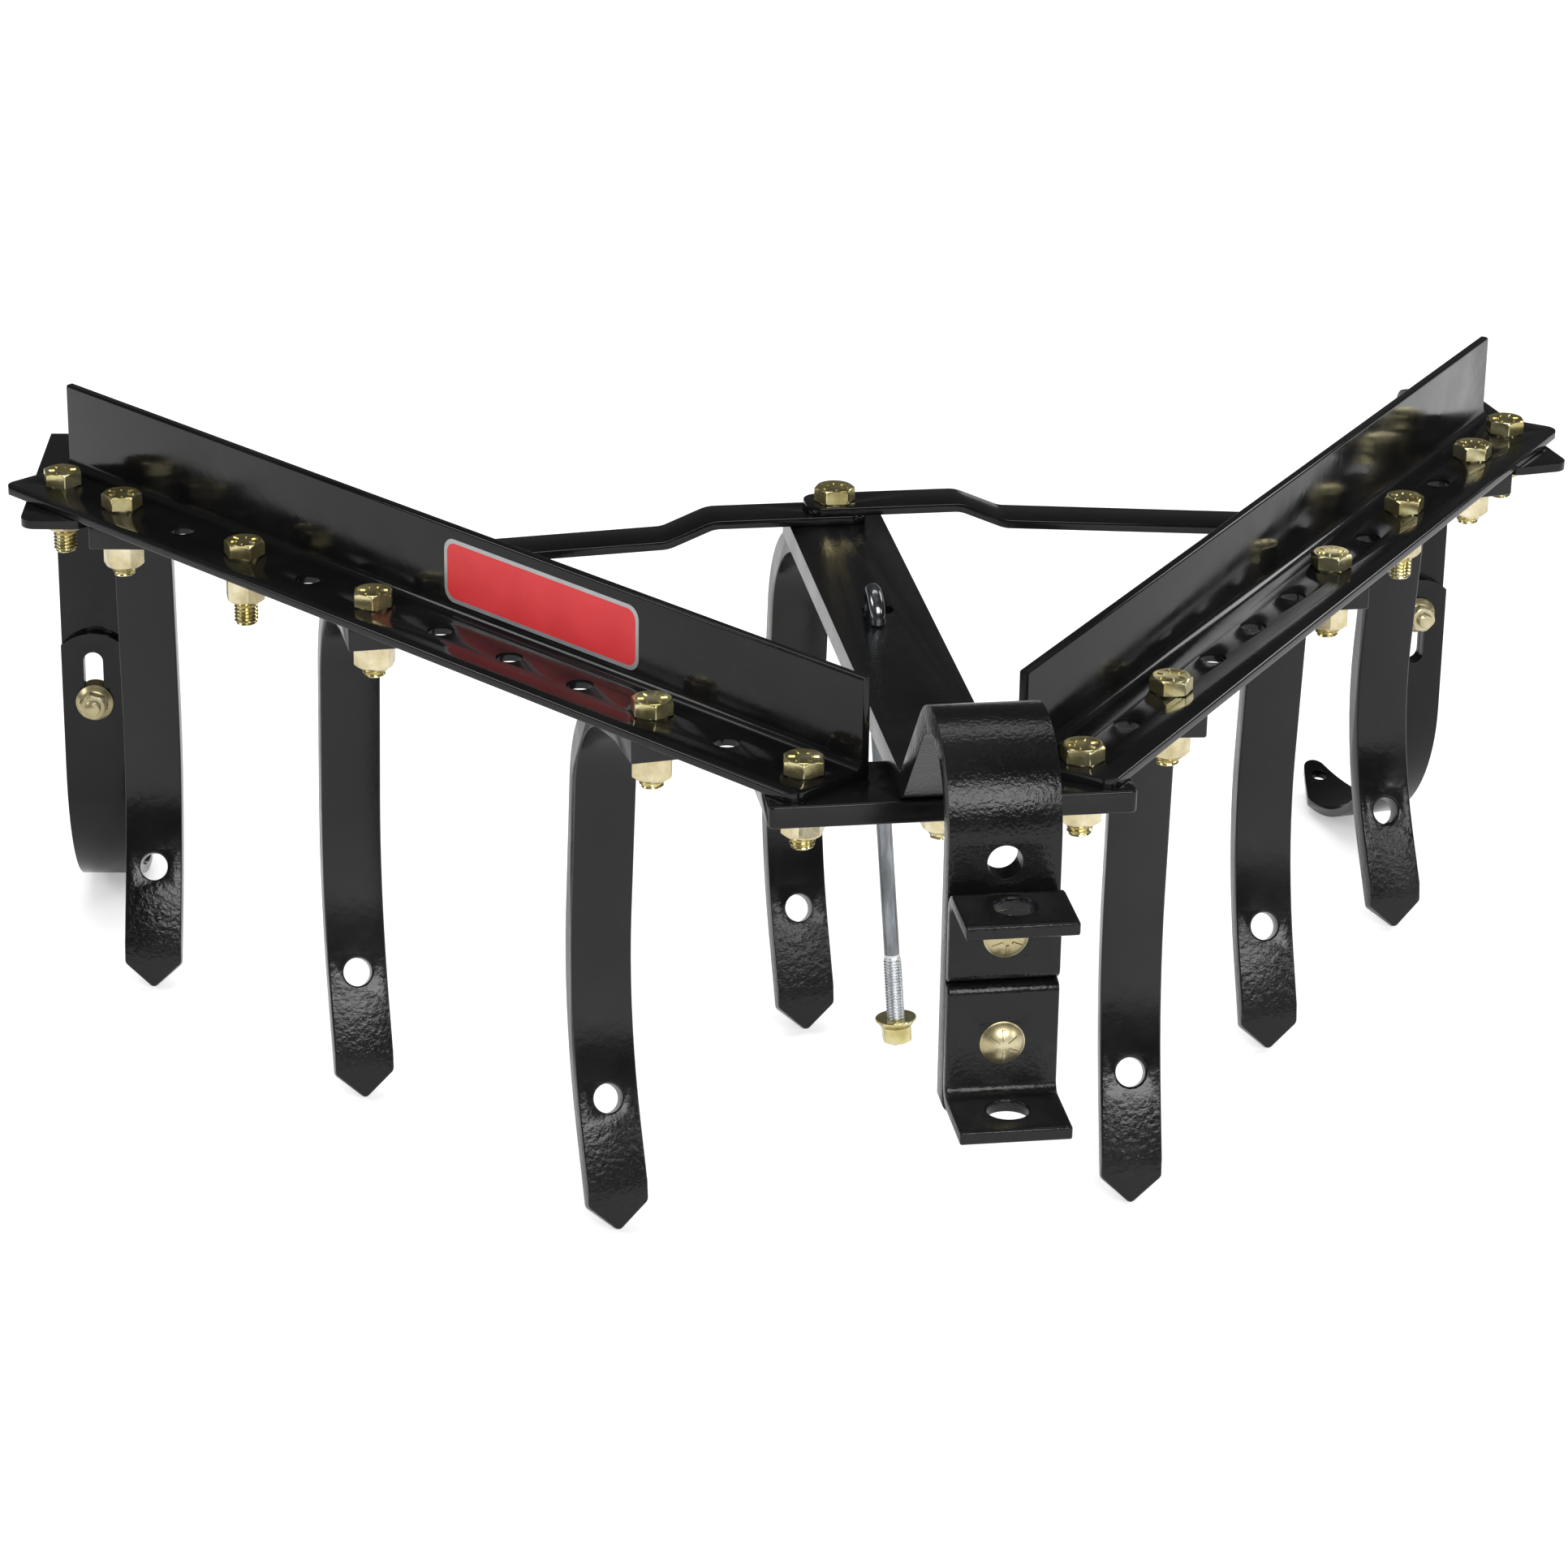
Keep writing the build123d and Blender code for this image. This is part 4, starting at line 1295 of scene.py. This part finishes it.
@dataclass
class HexBolts(Fasteners):
    """Half-inch hex bolts with their tall lock nuts, in named groups."""

    flats: float = 19.05
    head: float = 8.0
    nut: float = 17.0
    nut_end_r: float = 6.9
    nut_cone: float = 1.35
    length: float = 38.1
    pitch: float = 1.954
    thread: float = 19.0
    marks: int = 6
    grips: tuple[tuple[int, float], ...] = ((1, 11.11), (3, 12.7), (7, 12.7), (9, 4.76), (11, 12.7), (12, 4.76))
    spin_left: tuple[float, ...] = (-8.0, 2.0, 53.0, 15.0, 29.0, 5.0)
    spin_right: tuple[float, ...] = (8.0, 27.0, 6.5, 30.0, 26.0, 55.5)
    nut_lag: float = 12.0
    centre_length: float = 44.5
    rear_length: float = 57.2
    spin_centre: float = 12.0
    spin_rear: float = 28.5
    nut_spin_centre: float = 5.0
    crisp: float = 25.0

    def head_mesh(self) -> bmesh.types.BMesh:
        """Hex head on Z = 0: washer face, turned corners, raised marks."""
        corner, face = self.flats * 0.6, self.flats * 0.48
        rows = [(face, 0), (face, 0.5), (corner, 0.55), (corner, self.head - 1.6), (corner, self.head - 1.2),
                (corner, self.head - 0.8), (corner, self.head - 0.4), (corner, self.head - 0.08),
                (face - 0.4, self.head), (face - 1.0, self.head - 0.15)]
        top = turned(rows, self.flats, lambda z: face + (self.head - z) * math.sqrt(3) + 0.05)
        parts = [(top, Matrix.Identity(4))]
        for k in range(self.marks):
            corners = [(-1.8, -0.5), (1.8, -0.5), (1.8, 0.5), (-1.8, 0.5)]
            mark = prism(rounded(corners, [0.45] * 4, 3), -0.4, 0.3)
            parts.append((mark, turn(360 / self.marks * k) @ shift(5.6, 0, self.head)))
        return joined(parts)

    def bolt_mesh(self, length: float) -> bmesh.types.BMesh:
        """Bolt with its head on Z = 0 and its shank below.

        Args:
            length: Length under the head.

        Returns:
            The bolt.
        """
        shank = turned([(BOLT_D / 2, self.thread - length), (BOLT_D / 2, 0.4)], count=24)
        screw = threaded(BOLT_D, self.pitch, -length, self.thread - length)
        return gathered(self.head_mesh(), shank, screw)

    def nut_mesh(self) -> bmesh.types.BMesh:
        """Lock nut below Z = 0, chamfered at its face, with a steep cone at its free end."""
        corner, face = self.flats * 0.6, self.flats * 0.475
        up = (0.06, 0.35, 0.7, 1.1)
        down = (3.6, 3.1, 2.8, 2.5, 2.2, 1.95, 1.6, 1.0, 0.3)
        rows = [(face, 0), *((corner, step) for step in up), *((corner, self.nut - step) for step in down),
                (self.nut_end_r - 0.4, self.nut)]
        body = turned(rows, self.flats, lambda z: min(face + z * math.sqrt(3) + 0.02,
                                                      self.nut_end_r + (self.nut - z) * self.nut_cone))
        return joined([(body, turn(180, "X"))])

    def build_group(self, side: Side) -> list[bpy.types.Object]:
        """Build one wing's bolts and nuts.

        Args:
            side: Side of the wing.

        Returns:
            The dressed bolts and nuts.
        """
        bolts, nuts = [], []
        spins = self.spin_left if side is Side.LEFT else self.spin_right
        for (number, grip), spin in zip(self.grips, spins):
            x, y = wing_hole(side.value, number)
            bolts.append((self.bolt_mesh(self.length), shift(x, y, WING_WALL) @ turn(spin)))
            nuts.append((self.nut_mesh(), shift(x, y, -grip) @ turn(spin - self.nut_lag)))
        return [self.set_down(f"wing_bolt_set_{side.word}", bolts, YELLOW_ZINC, f"wing_bolts_{side.word}"),
                self.set_down(f"wing_nut_set_{side.word}", nuts, PALE_ZINC, f"wing_nuts_{side.word}")]

    def build_middle(self, bar: Drawbar) -> list[bpy.types.Object]:
        """Build the two bolts through the drawbar.

        Args:
            bar: Drawbar with its plate and braces.

        Returns:
            The dressed bolts and nuts.
        """
        bolts = [(self.bolt_mesh(self.centre_length), shift(0, 0, bar.thick) @ turn(self.spin_centre)),
                 (self.bolt_mesh(self.rear_length), shift(0, REAR_BOLT_Y, bar.rear_stack) @ turn(self.spin_rear))]
        nuts = [(self.nut_mesh(), shift(0, 0, -bar.plate_thick) @ turn(self.nut_spin_centre)),
                (self.nut_mesh(), shift(0, REAR_BOLT_Y, -Tine.thick))]
        return [self.set_down("drawbar_bolt_set", bolts, YELLOW_ZINC, "frame_bolts"),
                self.set_down("drawbar_nut_set", nuts, PALE_ZINC, "frame_nuts")]


@dataclass
class RoundBolts(Fasteners):
    """Round-headed bolts with flange nuts, on the hitch ears and the gauge shoes."""

    head_d: float = 20.5
    head: float = 5.2
    shank_d: float = 9.53
    flats: float = 14.3
    nut: float = 9.5
    flange_d: float = 21.4
    pitch: float = 1.588
    stick_out: float = 3.0
    nut_spin: float = 13.0
    ribs: int = 6
    rib_steps: int = 5
    rib_start: float = 2.6
    rib_run: float = 4.8
    rib_section: tuple[Point, ...] = ((-0.9, -0.4), (-0.5, 0.6), (0.5, 0.6), (0.9, -0.4))

    def cap_height(self, radius: float) -> float:
        """Height of the domed head at a distance from its axis."""
        ball = (self.head_d ** 2 / 4 + self.head ** 2) / (2 * self.head)
        return math.sqrt(ball ** 2 - radius ** 2) - (ball - self.head)

    def rib(self) -> bmesh.types.BMesh:
        """One raised radial rib on the dome."""
        mesh, rows = bmesh.new(), []
        for k in range(self.rib_steps + 1):
            reach = self.rib_start + self.rib_run * k / self.rib_steps
            top = self.cap_height(reach)
            rows.append([mesh.verts.new((reach, y, top + z)) for y, z in self.rib_section])
        return skin(mesh, rows)

    def bolt_mesh(self, grip: float) -> bmesh.types.BMesh:
        """Bolt with its head on Z = 0 and its shank below.

        Args:
            grip: Thickness of what it clamps.

        Returns:
            The bolt.
        """
        rim = self.head_d / 2
        reaches = [rim * share for share in (0.97, 0.92, 0.84, 0.74, 0.62, 0.48, 0.33, 0.18, 0.05)]
        head = turned([(rim - 0.15, 0), (rim, 0.25)] + [(r, self.cap_height(r)) for r in reaches], count=48)
        length = grip + self.nut + self.stick_out
        screw = threaded(self.shank_d, self.pitch, -length, 1 - grip)
        shank = turned([(self.shank_d / 2, 0.5 - grip), (self.shank_d / 2, 0.2)], count=24)
        parts = [(mesh, Matrix.Identity(4)) for mesh in (head, screw, shank)]
        parts += [(self.rib(), turn(90 + 360 / self.ribs * k)) for k in range(self.ribs)]
        return joined(parts)

    def nut_mesh(self, height: float | None = None) -> bmesh.types.BMesh:
        """Flange nut standing on Z = 0.

        Args:
            height: Height of the nut, its own by default.

        Returns:
            The nut.
        """
        high, rim = height or self.nut, self.flange_d / 2
        skirt = turned([(rim - 0.2, 0), (rim, 0.4), (rim - 0.1, 1.3), (rim - 0.9, 1.9), (self.flats * 0.58, 4.2),
                        (self.flats * 0.5, 4.6)], count=48)
        corner, face = self.flats * 0.6, self.flats * 0.46
        steps = (1.6, 1.1, 0.6, 0.06)
        rows = [(corner, 1.5), *((corner, high - step) for step in steps), (face, high)]
        body = turned(rows, self.flats, lambda z: face + (high - z) * math.sqrt(3) + 0.05)
        return gathered(skirt, body)

    def build_hitch(self, ears: HitchEars, bar: Drawbar) -> list[bpy.types.Object]:
        """Build the hitch's bolts and nuts.

        Args:
            ears: Ears that they clamp.
            bar: Drawbar that they pass through.

        Returns:
            The dressed bolts and nuts.
        """
        grip = ears.thick + bar.thick
        seats = [shift(0, ears.face_y - ears.thick, row[2]) @ turn(90, "X") for row in ears.rows]
        bolts = [(self.bolt_mesh(grip), seat) for seat in seats]
        nuts = [(self.nut_mesh(), seat @ shift(0, 0, -grip) @ turn(180, "X")) for seat in seats]
        return [self.set_down("hitch_bolt_set", bolts, ROUND_ZINC, "hitch_bolts"),
                self.set_down("hitch_nut_set", nuts, ROUND_ZINC, "hitch_nuts")]

    def build_shoes(self, shoes: Sequence[GaugeShoe]) -> list[bpy.types.Object]:
        """Build the shoes' clamp bolts and nuts.

        Args:
            shoes: Shoes that they clamp.

        Returns:
            The dressed bolts and nuts.
        """
        bolts, nuts = [], []
        for shoe in shoes:
            seat = shoe.place @ shift(0, shoe.reach + shoe.thick, shoe.clamp_z) @ turn(-90, "X")
            grip = 2 * shoe.thick
            bolts.append((self.bolt_mesh(grip), seat))
            nuts.append((self.nut_mesh(), seat @ shift(0, 0, -grip) @ turn(180, "X") @ turn(self.nut_spin)))
        return [self.set_down("shoe_bolt_set", bolts, ROUND_ZINC, "shoe_bolts"),
                self.set_down("shoe_nut_set", nuts, ROUND_ZINC, "shoe_nuts")]


@dataclass
class HookRod:
    """Rod hooked into the drawbar, with a rolled thread and a flange nut at its foot."""

    diameter: float = 8.0
    thread_d: float = 9.5
    pitch: float = 1.588
    thread: float = 49.5
    hook_r: float = 11.0
    hole_y: float = 187.0
    centre_z: float = 15.3
    end_drop: float = 2.1
    foot_z: float = -220.5
    offset_x: float = -3.5
    lean_front: float = 4.5
    lean_side: float = 3.8
    nut_up: float = 14.5
    nut_height: float = 13.0
    chamfer: float = 0.6
    run_in: float = 4.0
    run_out: float = 1.2
    foot_cut: float = 0.8
    bend_steps: int = 32
    plain_steps: int = 4
    count: int = 24

    @property
    def place(self) -> Matrix:
        """Place of the rod: the hook's centre, leaning sideways."""
        return shift(self.offset_x, self.hole_y - self.hook_r, self.centre_z) @ turn(-self.lean_side, "Y")

    @property
    def shank(self) -> tuple[Vector, Vector, float]:
        """Top of the straight shank, its direction and its length."""
        lean = math.radians(self.lean_front)
        top = Vector((0, self.hook_r * math.cos(lean), -self.hook_r * math.sin(lean)))
        return top, Vector((0, -math.sin(lean), -math.cos(lean))), (self.centre_z - self.foot_z) / math.cos(lean)

    def build_rod(self) -> bpy.types.Object:
        """Build the rod with its thread.

        Returns:
            The dressed rod.
        """
        top, way, length = self.shank
        stations = [(Vector((0, -self.hook_r, -self.end_drop)), Vector((0, 0, 1)), self.diameter / 2 - self.chamfer),
                    (Vector((0, -self.hook_r, self.chamfer - self.end_drop)), Vector((0, 0, 1)), self.diameter / 2)]
        swing = math.radians(180 + self.lean_front)
        for k in range(self.bend_steps + 1):
            angle = math.pi - swing * k / self.bend_steps
            spot = Vector((0, self.hook_r * math.cos(angle), self.hook_r * math.sin(angle)))
            stations.append((spot, Vector((0, math.sin(angle), -math.cos(angle))), self.diameter / 2))
        plain = length - self.thread
        stations += [(top + way * plain * k / self.plain_steps, way, self.diameter / 2)
                     for k in range(1, self.plain_steps + 1)]
        mesh, rings = bmesh.new(), []
        for spot, along, radius in stations:
            rings.append(self.ring(mesh, spot, along, lambda k, r=radius: r))
        rows = round(self.thread / self.pitch * THREAD_ROWS)
        for i in range(1, rows + 1):
            run = self.thread * i / rows
            rings.append(self.ring(mesh, top + way * (plain + run), way,
                                   lambda k, s=run: self.thread_radius(k / self.count, s)))
        piece = solid("hook_rod_bar", skin(mesh, rings), [], 0, self.place)
        dress(piece, CLEAR_ZINC, Body.HOOK, "hook_rod")
        piece.data.materials.append(THREAD_ZINC.material())
        first_thread_face = (len(stations) - 1) * self.count
        for face in piece.data.polygons:
            face.material_index = int(face.index >= first_thread_face)
        return piece

    def thread_radius(self, share: float, run: float) -> float:
        """Radius of the rolled thread.

        Args:
            share: Part of a turn.
            run: Distance from the thread's upper end.

        Returns:
            The radius.
        """
        depth = THREAD_DEPTH * self.pitch
        phase = (run / self.pitch - share) % 1.0
        start = min(1.0, run / self.run_in)
        end = min(1.0, (self.thread - run) / self.run_out)
        crest = self.diameter / 2 + (self.thread_d - self.diameter) / 2 * start
        return crest - depth * (1 - abs(2 * phase - 1)) * start - (1 - end) * self.foot_cut

    def ring(self, mesh: bmesh.types.BMesh, spot: Vector, along: Vector,
             radius: Callable[[int], float]) -> list[bmesh.types.BMVert]:
        """Add one ring of the rod.

        Args:
            mesh: Mesh to add to.
            spot: Centre of the ring.
            along: Direction of the rod there.
            radius: Radius at each step around.

        Returns:
            The ring's vertices.
        """
        side = Vector((1, 0, 0))
        other = along.cross(side)
        ring = []
        for k in range(self.count):
            angle = 2 * math.pi * k / self.count
            ring.append(mesh.verts.new(spot + (side * math.cos(angle) + other * math.sin(angle)) * radius(k)))
        return ring

    def build_nut(self, fasteners: RoundBolts) -> bpy.types.Object:
        """Build the nut, its flange up.

        Args:
            fasteners: Maker of the flange nut.

        Returns:
            The dressed nut.
        """
        top, way, length = self.shank
        seat = Matrix.Translation(top + way * (length - self.nut_up)) @ turn(180 - self.lean_front, "X")
        piece = solid("hook_rod_nut", fasteners.nut_mesh(self.nut_height), [], 0, self.place @ seat)
        return dress(piece, YELLOW_ZINC, Body.HOOK, "hook_nut")


@dataclass
class Studio:
    """Pale floor, soft lamps and the camera at the photograph's viewing angle."""

    floor_size: float = 12.0
    floor_tone: float = 0.86
    floor_lift: float = 0.30
    fill: float = 0.62
    mirrored: float = 0.07
    camera_place: tuple[float, float, float] = (-410.0, -2132.3, 902.3)
    forward: tuple[float, float, float] = (0.1429, 0.9113, -0.3861)
    roll: float = 0.85
    lens: float = 114.81
    sensor: float = 36.0
    clip: tuple[float, float] = (0.05, 40.0)
    aim: tuple[float, float, float] = (0.0, 0.35, 0.0)
    lamps: tuple[tuple[str, tuple[float, float, float], tuple[float, float], float], ...] = (
        ("overhead", (-0.3, 0.2, 2.6), (2.4, 2.4), 5.0),
        ("strip_rear", (0.0, 1.1, 2.2), (2.2, 0.55), 12.0),
        ("front", (0.2, -2.5, 1.65), (2.4, 1.2), 76.0),
        ("left", (-2.6, 0.5, 1.4), (1.4, 0.7), 18.0),
        ("right", (2.4, 1.6, 1.35), (1.4, 0.7), 18.0),
        ("right_front", (2.3, -1.6, 0.9), (0.5, 1.0), 14.0))

    def floor(self) -> bpy.types.Object:
        """Build the floor at the tines' points.

        Returns:
            The floor.
        """
        mesh = bmesh.new()
        half, level = self.floor_size / 2, (FLOOR_Z + DATUM.z) * MM
        mesh.faces.new([mesh.verts.new((x, y, level)) for x, y in
                        ((-half, -half), (half, -half), (half, half), (-half, half))])
        piece = mesh_object("floor", mesh)
        made, tree, shader = new_material("pale_floor")
        mottle = noise(tree, 3.0, 2.0, 0.5)
        tone = self.floor_tone
        link(tree, ramp(tree, mottle.outputs["Fac"], [(0.3, (tone,) * 3), (0.7, (tone + 0.01,) * 3)]),
             shader.inputs["Base Color"])
        shader.inputs["Roughness"].default_value = 0.9
        shader.inputs["Specular IOR Level"].default_value = 0.1
        path = tree.nodes.new("ShaderNodeLightPath")
        lift = tree.nodes.new("ShaderNodeMath")
        lift.operation = "MULTIPLY"
        lift.inputs[1].default_value = self.floor_lift
        link(tree, path.outputs["Is Camera Ray"], lift.inputs[0])
        link(tree, lift.outputs["Value"], shader.inputs["Emission Strength"])
        shader.inputs["Emission Color"].default_value = (1, 1, 1, 1)
        piece.data.materials.append(made)
        return piece

    def light(self) -> None:
        """Set the world's fill and the soft lamps."""
        world = bpy.data.worlds.new("studio")
        world.use_nodes = True
        bpy.context.scene.world = world
        tree = world.node_tree
        fill, seen, mirror = tree.nodes["Background"], *(tree.nodes.new("ShaderNodeBackground") for _ in range(2))
        for glow, strength in ((fill, self.fill), (seen, 1.0), (mirror, self.mirrored)):
            glow.inputs["Color"].default_value = (1, 1, 1, 1)
            glow.inputs["Strength"].default_value = strength
        path = tree.nodes.new("ShaderNodeLightPath")
        soft = tree.nodes.new("ShaderNodeMixShader")
        link(tree, path.outputs["Is Glossy Ray"], soft.inputs["Fac"])
        link(tree, fill.outputs["Background"], soft.inputs[1])
        link(tree, mirror.outputs["Background"], soft.inputs[2])
        blend = tree.nodes.new("ShaderNodeMixShader")
        link(tree, path.outputs["Is Camera Ray"], blend.inputs["Fac"])
        link(tree, soft.outputs["Shader"], blend.inputs[1])
        link(tree, seen.outputs["Background"], blend.inputs[2])
        link(tree, blend.outputs["Shader"], tree.nodes["World Output"].inputs["Surface"])
        for name, spot, size, power in self.lamps:
            data = bpy.data.lights.new(name, "AREA")
            data.shape = "RECTANGLE"
            data.size, data.size_y = size
            data.energy = power
            lamp = bpy.data.objects.new(name, data)
            bpy.context.scene.collection.objects.link(lamp)
            lamp.location = spot
            lamp.rotation_euler = (Vector(self.aim) - Vector(spot)).to_track_quat("-Z", "Y").to_euler()

    def camera(self) -> bpy.types.Object:
        """Set the camera where the photograph was taken.

        Returns:
            The camera.
        """
        data = bpy.data.cameras.new("photo_view")
        data.sensor_width = self.sensor
        data.lens = self.lens
        data.clip_start, data.clip_end = self.clip
        camera = bpy.data.objects.new("photo_view", data)
        bpy.context.scene.collection.objects.link(camera)
        ahead = Vector(self.forward).normalized()
        right = ahead.cross(Vector((0, 0, 1))).normalized()
        up = right.cross(ahead)
        basis = Matrix((right, up, -ahead)).transposed().to_4x4()
        tilt = Matrix.Rotation(-math.radians(self.roll), 4, ahead)
        camera.matrix_world = Matrix.Translation((Vector(self.camera_place) + DATUM) * MM) @ tilt @ basis
        bpy.context.scene.camera = camera
        return camera


@dataclass
class Cultivator:
    """The whole implement, piece by piece in building order."""

    bar: Drawbar = field(default_factory=Drawbar)
    ears: HitchEars = field(default_factory=HitchEars)
    bolts: HexBolts = field(default_factory=HexBolts)
    small: RoundBolts = field(default_factory=RoundBolts)
    rod: HookRod = field(default_factory=HookRod)
    tines: tuple[Tine, ...] = (
        Tine("tine_left_outer", -1, 11, -7.8, 28.1),
        Tine("tine_left_middle", -1, 7, 4.1, 34.1),
        Tine("tine_left_inner", -1, 3, 8.2, 28.1),
        Tine("tine_rear_centre", 0, 0, 4.9, 10.1),
        Tine("tine_right_inner", 1, 3, -5.2, 25.1),
        Tine("tine_right_middle", 1, 7, 0.8, 34.1),
        Tine("tine_right_outer", 1, 11, 9.6, 25.1))

    shoes: tuple[GaugeShoe, ...] = (
        GaugeShoe(Side.LEFT, -7.6, Body.SHOE_LEFT, -161.0),
        GaugeShoe(Side.RIGHT, 9.0, Body.SHOE_RIGHT, -141.0))

    def build(self) -> None:
        """Build and dress every piece."""
        wings = [Wing(Side.LEFT), Wing(Side.RIGHT)]
        for wing in wings:
            wing.build()
        wings[0].panel()
        self.bar.build_bar()
        self.bar.build_plate()
        self.bar.build_brace(Side.LEFT, self.bar.thick)
        self.bar.build_brace(Side.RIGHT, self.bar.thick + self.bar.brace_thick)
        self.ears.build()
        for tine in self.tines:
            tine.build()
        for shoe in self.shoes:
            shoe.build_bracket()
            shoe.build_shoe()
        for side in Side:
            self.bolts.build_group(side)
        self.bolts.build_middle(self.bar)
        self.small.build_hitch(self.ears, self.bar)
        self.small.build_shoes(self.shoes)
        self.rod.build_rod()
        self.rod.build_nut(self.small)


def main() -> None:
    """Build the cultivator and its studio."""
    logging.basicConfig(level=logging.INFO, format="%(name)s: %(message)s")
    Cultivator().build()
    studio = Studio()
    studio.floor()
    studio.light()
    studio.camera()
    bpy.context.scene.view_settings.view_transform = "Standard"


if __name__ == "__main__":
    main()
